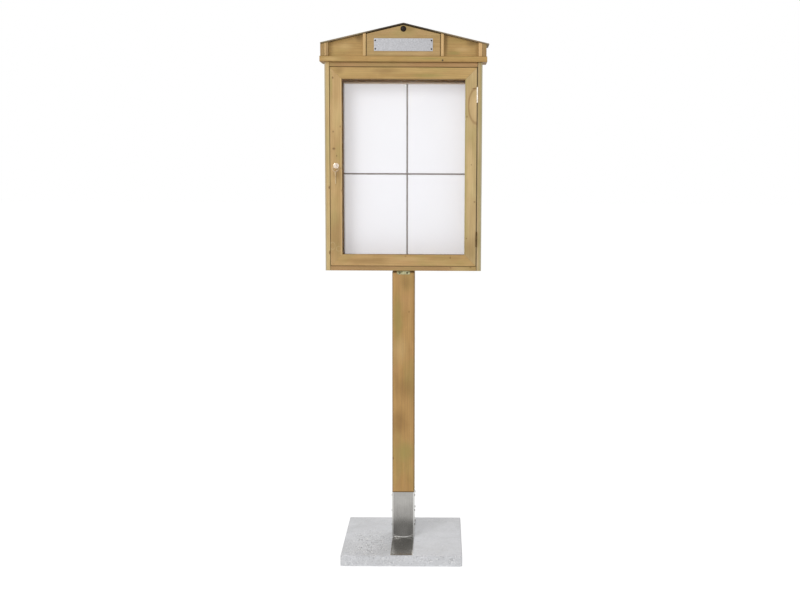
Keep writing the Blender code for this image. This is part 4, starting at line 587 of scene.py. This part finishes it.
# The fibres are drawn 1.25 mm wide, the finest that show in the render. A wave is 0.314 m long at scale 1.
FIBRE_WIDE, FIBRE_LONG, STREAK_WIDE, STREAK_LONG = 0.00125, 0.07143, 0.01111, 0.3333
STAIN_CLOUD, CAST_CLOUD, WAVE = 0.04167, 0.05263, 0.314
WARM_CAST, OLIVE_CAST = (0.0, "#c4956b", 0.20), (5.0, "#96904e", 0.30)


def pine(name, grain, pale, mid, dark, seed, marks=(), front=None, ring=0.0055, lean=0.16, heart=0.06):
    """Stained pine with its fibres along an axis: the rings of a log whose heart lies behind the face, fine
    fibres, stain in warm and olive clouds, and its own marks, which lie on its front where that is given."""
    def stretched(along, across):
        return [along if axis == grain else across for axis in "XYZ"]

    material, tree, shader, here = surface(name, 0.55)
    turn = {"X": (0.0, lean, 0.06), "Z": (0.06, math.pi / 2 + lean, 0.0),
            "Y": (0.0, lean, -math.pi / 2)}[grain]
    rings = add(tree, "ShaderNodeMapping", {"Vector": here, "Rotation": turn, "Scale": stretched(0.15, 1.0),
                                            "Location": (seed, heart, 0.013 * math.sin(seed * 9))})
    rings = add(tree, "ShaderNodeTexWave", {"Vector": rings, "Scale": WAVE / ring, "Distortion": 9.0,
                                            "Detail": 2.0, "Detail Scale": 0.16, "Detail Roughness": 0.5},
                wave_type="RINGS", rings_direction="X")
    late = remap(tree, rings, 0.45, 1.0, curve="SMOOTHSTEP")
    fibres = add(tree, "ShaderNodeMapping", {"Vector": here, "Location": (seed, seed, seed),
                                             "Scale": stretched(1 / FIBRE_LONG, 1 / FIBRE_WIDE)})
    fibres = noise(tree, fibres, 1.0, 3.0)
    streaks = add(tree, "ShaderNodeMapping", {"Vector": here, "Location": (seed, 0, seed),
                                              "Scale": stretched(1 / STREAK_LONG, 1 / STREAK_WIDE)})
    streaks = noise(tree, streaks, 1.0, 2.0)
    stain = add(tree, "ShaderNodeMapping", {"Vector": here, "Location": (seed, seed * 2, 0),
                                            "Scale": stretched(0.5, 1.0)})
    stain = noise(tree, stain, STAIN_CLOUD, 4.0, Roughness=0.6, Distortion=0.4)
    stain = maths(tree, "ADD", stain, streaks)
    stain = remap(tree, stain, 0.78, 1.22)
    tone = blend(tree, stain, linear(mid), linear(pale))
    lines = maths(tree, "MULTIPLY", late, 0.20)
    tone = blend(tree, lines, tone, linear(dark))
    for shift, colour, most in (WARM_CAST, OLIVE_CAST):
        cast = add(tree, "ShaderNodeMapping", {"Vector": here, "Location": (seed + shift, seed, 0),
                                               "Scale": stretched(0.5, 1.0)})
        cast = noise(tree, cast, CAST_CLOUD, 2.0)
        cast = remap(tree, cast, 0.48, 0.72, high=most)
        tone = blend(tree, cast, tone, linear(colour))
    hairs = remap(tree, fibres, 0.3, 0.7, 0.92, 1.07)
    tone = vectors(tree, "MULTIPLY", tone, hairs)
    unmarked = tone
    on_front = vectors(tree, "MULTIPLY", here, (1.0, 0.0, 1.0))
    for x, z, wide, tall, kind in marks:
        lies, start, end, most, colour = MARKS[kind]
        mark = vectors(tree, "SUBTRACT", on_front, (x, 0.0, z))
        mark = vectors(tree, "MULTIPLY", mark, (1 / wide, 0.0, 1 / tall))
        mark = vectors(tree, "LENGTH", mark)
        mark = maths(tree, "SUBTRACT", mark.outputs["Value"], lies)
        mark = maths(tree, "ABSOLUTE", mark)
        mark = remap(tree, mark, start, end, most, 0.0, curve="SMOOTHSTEP")
        tone = blend(tree, mark, tone, linear(colour))
    if front is not None:
        behind = add(tree, "ShaderNodeSeparateXYZ", {0: here}).outputs["Y"]
        behind = remap(tree, behind, front + MARK_DEPTH[0], front + MARK_DEPTH[1])
        tone = blend(tree, behind, tone, unmarked)
    relief = maths(tree, "ADD", fibres, late)
    lay(tree, shader, tone, relief, 0.35, 0.00025, late, (0.62, 0.46))
    return material


POST_FACE = -0.0175
dress(pine("pine post, planed and stained honey brown", "Z", "#b38d56", "#a47f4a", "#816036", 1.3,
           front=POST_FACE, marks=(
    (-0.0350, 0.3150, 0.0030, 0.0060, "knot"), (0.0190, 0.8200, 0.0020, 0.0040, "knot"),
    # Painted shadow of the case across the top of the post and of the shoes along their top edge, and painted
    # shade down both edges.
    (0.0, 0.9560, LINE, 0.0070, "shade"), (0.0, 0.9546, LINE, 0.0036, "seam_shade"),
    (0.0, 0.1960, LINE, 0.0030, "seam_shade"), (-0.0375, 0.60, 0.0035, LINE, "shade"),
    (0.0375, 0.60, 0.0045, LINE, "shade"), (-0.020, 0.80, 0.020, 0.09, "olive"),
    (0.010, 0.92, 0.020, 0.030, "stain"), (0.010, 0.56, 0.045, 0.05, "stain"),
    (-0.015, 0.44, 0.030, 0.05, "stain"), (0.012, 0.34, 0.030, 0.04, "olive"),
    (-0.010, 0.69, 0.025, 0.05, "pale"))), "post")

# Plate on the post's top: a zinc-plated steel saddle with turned-down lips, two screws in each lip, and the
# two bolts that hold the case on it. Passivation gives the zinc its yellow-green cast.
saddle_zinc = plated("steel, zinc plated and yellow passivated", "#c2bf98", "#807b55", 0.006, 0.38)
dress(saddle_zinc, "post_top_plate", "case_bolt_front", "case_bolt_rear")
SADDLE_SCREW_RADIUS, SADDLE_SCREW_HEIGHT = 0.0034, 0.0018
SADDLE_SCREW_X, SADDLE_SCREW_Z = 0.0125, 0.9524
SADDLE_LIPS = ((-0.0196, -1.0), (0.0596, 1.0))
dark_screw = plated("steel screw, darkened by weather", "#3f372b", "#282117", 0.002, 0.5)
fasteners("saddle_screw_heads", "stand",
          screw_head("saddle_screw", SADDLE_SCREW_RADIUS, SADDLE_SCREW_HEIGHT), dark_screw,
          [((side * SADDLE_SCREW_X, lip, SADDLE_SCREW_Z), (0.0, way, 0.0)) for side in (-1, 1)
           for lip, way in SADDLE_LIPS])

# Case: four planed pine boards glued and screwed at the corners, their front edges a pale frame round the
# door. The narrow gaps round the door are painted darker as shade, and the case top carries a line of painted
# shadow just under the ledge.
CASE_FACE = -0.0275
DOOR_EDGE_X, DOOR_LOW, DOOR_HIGH = 0.2434, 0.9756, 1.6330
dress(pine("pine case side, left, planed and stained", "Z", "#c4ac79", "#b49a67", "#8e7241", 2.1,
           front=CASE_FACE, marks=(
    (-0.2462, 1.2373, 0.0035, 0.006, "knot"), (-0.2465, 1.020, 0.003, 0.008, "knot"),
    (-0.2578, 1.30, 0.0024, LINE, "dusty"), (-DOOR_EDGE_X, 1.30, 0.0014, LINE, "seam_shade"))), "case_left_side")
dress(pine("pine case side, right, planed and stained", "Z", "#c2ab83", "#af986e", "#8b7248", 2.9,
           front=CASE_FACE, marks=(
    (0.256, 1.30, 0.006, LINE, "olive"), (DOOR_EDGE_X, 1.30, 0.0024, LINE, "gap"),
    (0.2574, 1.30, 0.0024, LINE, "dusty"))), "case_right_side")
dress(pine("pine case bottom, planed and stained", "X", "#a88658", "#97764c", "#765731", 3.4,
           front=CASE_FACE, marks=(
    (0.2246, 0.9712, 0.004, 0.0025, "knot"), (0.158, 0.9705, 0.004, 0.0025, "knot"),
    (0.19, 0.966, 0.04, 0.010, "pale"), (0.0, DOOR_LOW, LINE, 0.0012, "seam_shade"))), "case_bottom")
dress(pine("pine case top, planed and stained", "X", "#b28d5f", "#a27f51", "#7f5f37", 4.2,
           front=CASE_FACE, marks=(
    # The stain line just under the ledge is painted shadow.
    (0.0, 1.6486, LINE, 0.0035, "stain"), (0.0, DOOR_HIGH, LINE, 0.0018, "seam_shade"))), "case_top")

# Back panel: a thin sheet of softwood plywood let into rebates in the sides, its face veneer stained like the
# boards.
dress(pine("softwood plywood, rotary cut and stained", "Z", "#e3c08a", "#d3ad76", "#a9844e", 6.5,
           ring=0.011, lean=0.3, heart=0.02), "case_back")

# Display board: a white laminated board on the case's back, with grey strips that divide it in four and hold
# the sheets. The laminate has a faint satin orange-peel.
COATING_CLOUD = 0.1111


def smooth(name, pale, dull, roughness, grain, relief, gloss=0.5):
    """A coated or moulded surface: almost even, with faint clouding and the fine texture of its making."""
    material, tree, shader, here = surface(name, roughness)
    shader.inputs["Specular IOR Level"].default_value = gloss
    clouds = noise(tree, here, COATING_CLOUD, 3.0)
    tone = blend(tree, clouds, linear(dull), linear(pale))
    fine = noise(tree, here, grain, 2.0)
    lay(tree, shader, tone, fine, 0.3, relief, fine, (roughness - 0.06, roughness + 0.06))
    return material


laminate = smooth("white melamine laminate, pressed satin", "#f6f5f8", "#f2f1f4", 0.38, 0.0012, 0.00004)
dress(laminate, "display_board")
strip_plastic = smooth("grey PVC, extruded", "#776e67", "#6c635d", 0.45, 0.001, 0.00003)
dress(strip_plastic, "horizontal_strip", "lower_vertical_strip", "upper_vertical_strip")
rail_plastic = smooth("brown-grey PVC, extruded", "#c2a98c", "#b0967a", 0.45, 0.001, 0.00003)
dress(rail_plastic, "board_top_rail")

# Sheets: four blank A4 papers laid on the board, one to each field, and held at their edges by the strips.
# Paper has a faint tooth and next to no gloss.
paper = smooth("office paper, uncoated", "#f9f9fd", "#f6f6fa", 0.8, 0.0006, 0.00003)
dress(paper, "sheet_lower_left", "sheet_lower_right", "sheet_upper_left", "sheet_upper_right")

# Door: a mitred frame of planed pine, its front arrises eased, with a painted highlight along the left
# stile's inner arris, rebated at the back for the pane. Each member is its own board, so its rings, knots and
# stain differ.
# The marks along the gaps round the door are painted shade, darkest at the right-hand gap.
GAP_SHADE_LEFT, GAP_SHADE_RIGHT = (-DOOR_EDGE_X, 1.3, 0.0014, LINE, "seam_shade"), (DOOR_EDGE_X, 1.3, 0.0024, LINE, "gap")
GAP_SHADE_TOP, GAP_SHADE_BOTTOM = (0.0, DOOR_HIGH, LINE, 0.0016, "seam_shade"), (0.0, DOOR_LOW, LINE, 0.0012, "seam_shade")
dress(pine("pine door stile, left", "Z", "#c1a16f", "#b1905e", "#8d6d3f", 5.1, front=CASE_FACE, marks=(
    (-0.2330, 1.5975, 0.0035, 0.0045, "knot"), (-0.2086, 1.4384, 0.003, 0.004, "knot"),
    (-0.2323, 1.4215, 0.0028, 0.0035, "knot"), (-0.2303, 1.3656, 0.006, 0.0045, "knot"),
    (-0.2211, 1.3419, 0.0022, 0.0042, "knot"), (-0.2048, 1.2278, 0.003, 0.005, "knot"),
    (-0.2040, 1.1526, 0.004, 0.0018, "knot"), (-0.2360, 1.0430, 0.008, 0.012, "curl"),
    (-0.2150, 1.0330, 0.009, 0.008, "curl"), (-0.222, 1.07, 0.03, 0.09, "stain"),
    # The dark knot just right of the lock's flange is painted shadow of the flange.
    (-0.2076, 1.3013, 0.0032, 0.0026, "knot"), (-0.2233, 1.2880, 0.016, 0.026, "stain"),
    # The pale line along the inner arris is a painted highlight.
    (-0.2060, 1.30, 0.0035, LINE, "pale"), (-0.239, 1.57, 0.006, 0.06, "olive"),
    (-0.222, 1.47, 0.015, 0.06, "pale"), GAP_SHADE_LEFT, GAP_SHADE_TOP)), "door_left_stile")
dress(pine("pine door stile, right", "Z", "#c5ac7c", "#b59a6b", "#91754a", 7.7, front=CASE_FACE, marks=(
    (0.2424, 1.5078, 0.0275, 0.0575, "sweep"), (0.2335, 1.5637, 0.0085, 0.0020, "knot"),
    (0.2100, 1.4720, 0.0022, 0.0040, "knot"), (0.2255, 1.3142, 0.0025, 0.0030, "knot"),
    (0.2365, 1.1912, 0.0030, 0.0030, "knot"), (0.2105, 1.0692, 0.0025, 0.0030, "knot"),
    (0.2350, 1.5100, 0.010, 0.045, "pale"), (0.2060, 1.40, 0.0040, LINE, "olive"),
    (0.222, 1.28, 0.012, 0.12, "pale"), (0.222, 1.03, 0.03, 0.05, "stain"),
    (0.2430, 1.0657, 0.0050, 0.026, "shade"), GAP_SHADE_RIGHT, GAP_SHADE_TOP)), "door_right_stile")
dress(pine("pine door rail, top", "X", "#bb9c63", "#a98852", "#836535", 8.3, front=CASE_FACE, marks=(
    (-0.212, 1.620, 0.018, 0.014, "stain"), (-0.06, 1.620, 0.05, 0.010, "stain"),
    (0.08, 1.606, 0.06, 0.008, "olive"), (0.0, 1.5945, LINE, 0.0028, "stain"), GAP_SHADE_TOP)), "door_top_rail")
dress(pine("pine door rail, bottom", "X", "#be9c67", "#aa8854", "#826038", 9.9, marks=(
    # The dark line along its top edge is painted shade where the pane meets it.
    (0.0, 1.0154, LINE, 0.0014, "seam_shade"), (0.0077, 1.0084, 0.0025, 0.003, "knot"),
    (0.1568, 1.0044, 0.0022, 0.005, "knot"), (-0.12, 0.992, 0.08, 0.010, "stain"),
    (0.02, 1.0, 0.06, 0.008, "pale"), GAP_SHADE_BOTTOM)), "door_bottom_rail")
# The side and bottom beads are painted darker than the door's pine, as painted shade of the cavity round the
# board.
SHADED_BEAD_TONES = ("#8a6a4c", "#775a40", "#59422c")
dress(pine("pine glazing bead, planed and stained", "Z", *SHADED_BEAD_TONES, 11.0), "bead_left", "bead_right")
dress(pine("pine glazing bead, bottom", "X", *SHADED_BEAD_TONES, 12.0), "bead_bottom")
dress(pine("pine glazing bead, top", "X", "#b38a63", "#9d7857", "#775839", 12.6), "bead_top")

# Pane: one thin sheet of clear float glass, with the faint draw lines of its making. It lets lamplight
# through to the board. Most of what lies behind is seen straight through it, and the rest has the gloss of
# glass.
STRAIGHT_THROUGH, DRAW_WIDE = 0.75, 0.14286
pane, tree, shader, here = surface("clear float glass", 0.02)
shader.inputs["Base Color"].default_value = linear("#ffffff")
shader.inputs["Transmission Weight"].default_value = 1.0
shader.inputs["IOR"].default_value = 1.5
draw = noise(tree, here, DRAW_WIDE, 0.0)
haze = remap(tree, draw, high=0.03)
tree.links.new(haze.outputs[0], shader.inputs["Roughness"])
clear = add(tree, "ShaderNodeBsdfTransparent", {"Color": linear("#fefefe")})
path = add(tree, "ShaderNodeLightPath")
lamplight = maths(tree, "MAXIMUM", path.outputs["Is Shadow Ray"], path.outputs["Is Diffuse Ray"])
lamplight = maths(tree, "MAXIMUM", lamplight, STRAIGHT_THROUGH)
through = add(tree, "ShaderNodeMixShader", {0: lamplight, 1: shader.outputs[0], 2: clear})
tree.links.new(through.outputs[0], tree.nodes["Material Output"].inputs["Surface"])
dress(pane, "door_glass")

# Hinges: two small butt hinges whose knuckles stand in front of the right-hand gap, each leaf held by
# countersunk screws. The upper one is still bright zinc, the lower one has gone brown with rust.
hinge_zinc = plated("steel, bright zinc plated", "#fff6ea", "#dcd6c8", 0.003, 0.3)
dress(hinge_zinc, "hinge_upper_case_leaf", "hinge_upper_door_leaf", "hinge_upper_pin")
rust = plated("steel, zinc worn off and rusted", "#7a6243", "#2e2114", 0.006, 0.6, 0.0002)
dress(rust, "hinge_lower_case_leaf", "hinge_lower_door_leaf", "hinge_lower_pin")

# Cam lock: a nickel-plated barrel through the left stile, its flange turned with a rounded rim and its
# barrel threaded for the nut; behind the stile are the nut, the cam, its screw and the keeper.
LOCK_X, LOCK_Z, FLANGE_BACK = -0.2233, 1.3092, -0.0278
BORE, BORE_BEVEL, BARREL_RADIUS, BARREL_END = 0.0053, 0.0004, 0.0065, -0.0246
FLANGE_RADIUS, FLANGE_THICK, RIM_WIDE, RIM_DROP = 0.0095, 0.0025, 0.0022, 0.0018
THREAD_PITCH, THREAD_DEPTH, THREADS = 0.0010, 0.0004, 24
nickel = plated("brass, nickel plated and polished", "#fff4e8", "#e9dac8", 0.003, 0.2)
outline = [(BORE, FLANGE_THICK - BORE_BEVEL), (BORE + BORE_BEVEL, FLANGE_THICK),
           (FLANGE_RADIUS - RIM_WIDE, FLANGE_THICK)]
outline += [(FLANGE_RADIUS - RIM_WIDE + RIM_WIDE * math.sin(math.radians(a)),
             FLANGE_THICK - RIM_DROP * (1 - math.cos(math.radians(a)))) for a in (20, 40, 60, 80)]
outline += [(FLANGE_RADIUS, 0.0)]
for turn in range(THREADS):
    outline += [(BARREL_RADIUS - THREAD_DEPTH, -turn * THREAD_PITCH - 0.0001),
                (BARREL_RADIUS, -(turn + 0.5) * THREAD_PITCH)]
outline += [(BARREL_RADIUS - THREAD_DEPTH, BARREL_END), (BORE, BARREL_END)]
mesh = turned("lock_barrel", outline, 40, closed=True)
mesh.transform(Matrix.Translation((LOCK_X, FLANGE_BACK, LOCK_Z)) @ Matrix.Rotation(math.pi / 2, 4, "X"))
settle("lock_barrel", mesh, "door", "nickel_plate", nickel, "lock_housing")
dress(nickel, "lock_plug", "key")
worn_nickel = plated("brass, nickel plate worn thin", "#d6c4a2", "#bfa77e", 0.003, 0.32)
dress(worn_nickel, "spare_key")
dress(hinge_zinc, "lock_nut", "lock_cam", "cam_screw", "lock_keeper")

# Key ring: two turns of hard, nickel-plated steel wire wound close, as a split ring, threaded through the
# bows of both keys.
RING_CENTRE, RING_RADIUS, RING_WIRE = (LOCK_X, -0.0501, 1.2987), 0.0090, 0.0004
RING_TURNS, CLOSE_WOUND = 2.0, 2.05
ring_tree = bpy.data.node_groups.new("split ring", "GeometryNodeTree")
given = named_inputs(ring_tree, (("Coil Radius", "Float"), ("Wire Radius", "Float"), ("Turns", "Float"),
                                 ("Finish", "Material")), "Ring")
rise = maths(ring_tree, "MULTIPLY", given.outputs["Turns"], CLOSE_WOUND)
rise = maths(ring_tree, "MULTIPLY", given.outputs["Wire Radius"], rise)
coil = add(ring_tree, "GeometryNodeCurveSpiral", {
    "Resolution": 40, "Rotations": given.outputs["Turns"], "Start Radius": given.outputs["Coil Radius"],
    "End Radius": given.outputs["Coil Radius"], "Height": rise})
section = add(ring_tree, "GeometryNodeCurvePrimitiveCircle", {"Resolution": 10,
                                                              "Radius": given.outputs["Wire Radius"]})
wire = add(ring_tree, "GeometryNodeCurveToMesh", {"Curve": coil, "Profile Curve": section, "Fill Caps": True})
real = add(ring_tree, "GeometryNodeRealizeInstances", {"Geometry": wire})
finished = add(ring_tree, "GeometryNodeSetMaterial", {"Geometry": real, "Material": given.outputs["Finish"]})
add(ring_tree, "NodeGroupOutput", {"Ring": finished})
ring = grown("split_ring", bpy.data.meshes.new("split_ring"), ring_tree, {
    "Coil Radius": RING_RADIUS, "Wire Radius": RING_WIRE, "Turns": RING_TURNS, "Finish": nickel})
ring.data.transform(Matrix.Translation(RING_CENTRE) @ Matrix.Rotation(math.pi / 2, 4, "X")
                    @ Matrix.Translation((0, 0, -RING_TURNS / 2 * CLOSE_WOUND * RING_WIRE)))
ring.data.shade_smooth()
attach(ring, "key_ring")
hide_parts("key_ring")

# Ledge: a planed pine board glued down over the case, its ends and front overhanging to throw off rain. Its
# edge has a dark knot, and painted shadow lines along its top, under the gable, and along its bottom.
LEDGE_FACE = -0.0395
dress(pine("pine ledge, planed and stained", "X", "#b69359", "#a5824b", "#815f31", 13.7,
           front=LEDGE_FACE, marks=(
    # The stain lines along its top and bottom are painted shadow.
    (0.1285, 1.6542, 0.0042, 0.0042, "gap"), (0.0, 1.6489, LINE, 0.0030, "stain"),
    (0.0, 1.6675, LINE, 0.0022, "stain"), (-0.24, 1.658, 0.03, 0.006, "pale"),
    (0.09, 1.660, 0.05, 0.004, "olive"))), "ledge_board")

# Gable: thin pine boards glued to the ledge: sides, end posts, recessed board, pilasters and centre panel,
# with a back board and a batten under the ridge. Each is cut and stained on its own.
dress(pine("pine gable post, planed and stained", "Z", "#cfab76", "#bf9d6a", "#987545", 15.0),
      "left_pilaster", "right_pilaster", "right_end_post")
# A strip of painted shadow covers the right two-thirds of the left end post's face.
dress(pine("pine gable end post, stained darker", "Z", "#cba874", "#bb9a67", "#937143", 15.6, marks=(
    (-0.2506, 1.72, 0.0056, LINE, "shade"),)), "left_end_post")
dress(pine("pine gable side, planed and stained", "Z", "#a58556", "#96774b", "#765630", 16.2),
      "pediment_left_side", "pediment_right_side")
GABLE_TONES = ("#b8985e", "#a68550", "#806136")
dress(pine("pine gable board, planed and stained", "X", *GABLE_TONES, 17.5, marks=(
    # The dark strips at the left end of each recess and at the right end of the right one are painted shade
    # beside the posts.
    (-0.1450, 1.7290, 0.018, 0.0200, "shade"), (-0.2380, 1.6962, 0.010, 0.040, "stain"),
    (0.2255, 1.7098, 0.024, 0.0135, "shade"), (0.2438, 1.6929, 0.010, 0.040, "stain"),
    (0.1647, 1.6793, 0.027, 0.0070, "olive"), (-0.1900, 1.7000, 0.024, 0.0120, "pale"),
    (0.1950, 1.6910, 0.026, 0.0080, "pale"), (0.1390, 1.7200, 0.009, 0.060, "shade"))), "recess_board")
dress(pine("pine gable back board, planed and stained", "X", *GABLE_TONES, 17.9),
      "pediment_back", "ridge_batten")
dress(pine("pine gable panel, planed and stained", "X", "#b29463", "#a08251", "#7d5f37", 18.4, marks=(
    # The dark lines at its edges are painted shade in the grooves beside the pilasters.
    (0.1212, 1.72, 0.0018, LINE, "seam_shade"), (-0.1212, 1.72, 0.0018, LINE, "seam_shade"),
    (0.02, 1.756, 0.025, 0.012, "stain"), (0.0, 1.676, 0.10, 0.006, "pale"))), "centre_panel")

# Roof: two thin pine boards laid in the slope and glued to the gable and the ridge batten, stained dark and
# weathered, and painted nearly black over the centre panel as the shadow in the gap above it.
dress(pine("pine roof board, stained dark", "Y", "#8a7a60", "#7a6a51", "#625440", 19.3, marks=(
    (0.0, 1.75, 0.150, LINE, "gap"),)), "roof_left", "roof_right")

# Plug: a domed cap of moulded brown plastic with a thin lip, its stem pushed into a hole in the centre panel
# just under the ridge.
PLUG_Z, PLUG_FACE, PLUG_RADIUS, DOME_RADIUS, DOME_HEIGHT = 1.7558, -0.0348, 0.0095, 0.0085, 0.0045
LIP_THICK, LIP_BEVEL, STEM_RADIUS, STEM_LENGTH = 0.0008, 0.0002, 0.0039, 0.0078
outline = [(0.0, DOME_HEIGHT)]
outline += [(DOME_RADIUS * math.sin(math.radians(a)),
             LIP_THICK + (DOME_HEIGHT - LIP_THICK) * math.cos(math.radians(a))) for a in range(12, 90, 13)]
outline += [(DOME_RADIUS, LIP_THICK), (PLUG_RADIUS - LIP_BEVEL, LIP_THICK),
            (PLUG_RADIUS, LIP_THICK - LIP_BEVEL),
            (PLUG_RADIUS, 0.0), (STEM_RADIUS, 0.0), (STEM_RADIUS, -STEM_LENGTH), (0.0, -STEM_LENGTH)]
mesh = turned("ridge_plug", outline, 40)
mesh.transform(Matrix.Translation((0.0, PLUG_FACE, PLUG_Z)) @ Matrix.Rotation(math.pi / 2, 4, "X"))
brown_plastic = smooth("brown polyethylene, moulded", "#20140b", "#150d07", 0.42, 0.0008, 0.00003, 0.2)
settle("ridge_plug", mesh, "stand", "brown_plastic", brown_plastic, "peak_plug")

# Sign plate: a bare sheet of pale metal, nailed to the centre panel by its four corners with small dark
# nails.
dress(plated("aluminium sheet, mill finish", "#bcbcbf", "#a2a2a5", 0.0018, 0.42), "sign_plate")
NAIL_X, NAIL_LEVELS, NAIL_FACE = 0.092, (1.6908, 1.7182), -0.0363
nail = turned("sign_nail", [(0, 0), (0.0026, 0), (0.0026, 0.0005), (0.0019, 0.0010), (0, 0.0012)], 20)
fasteners("sign_nail_heads", "stand", nail, dark_screw,
          [((side * NAIL_X, NAIL_FACE, level), (0.0, -1.0, 0.0))
           for side in (-1, 1) for level in NAIL_LEVELS])
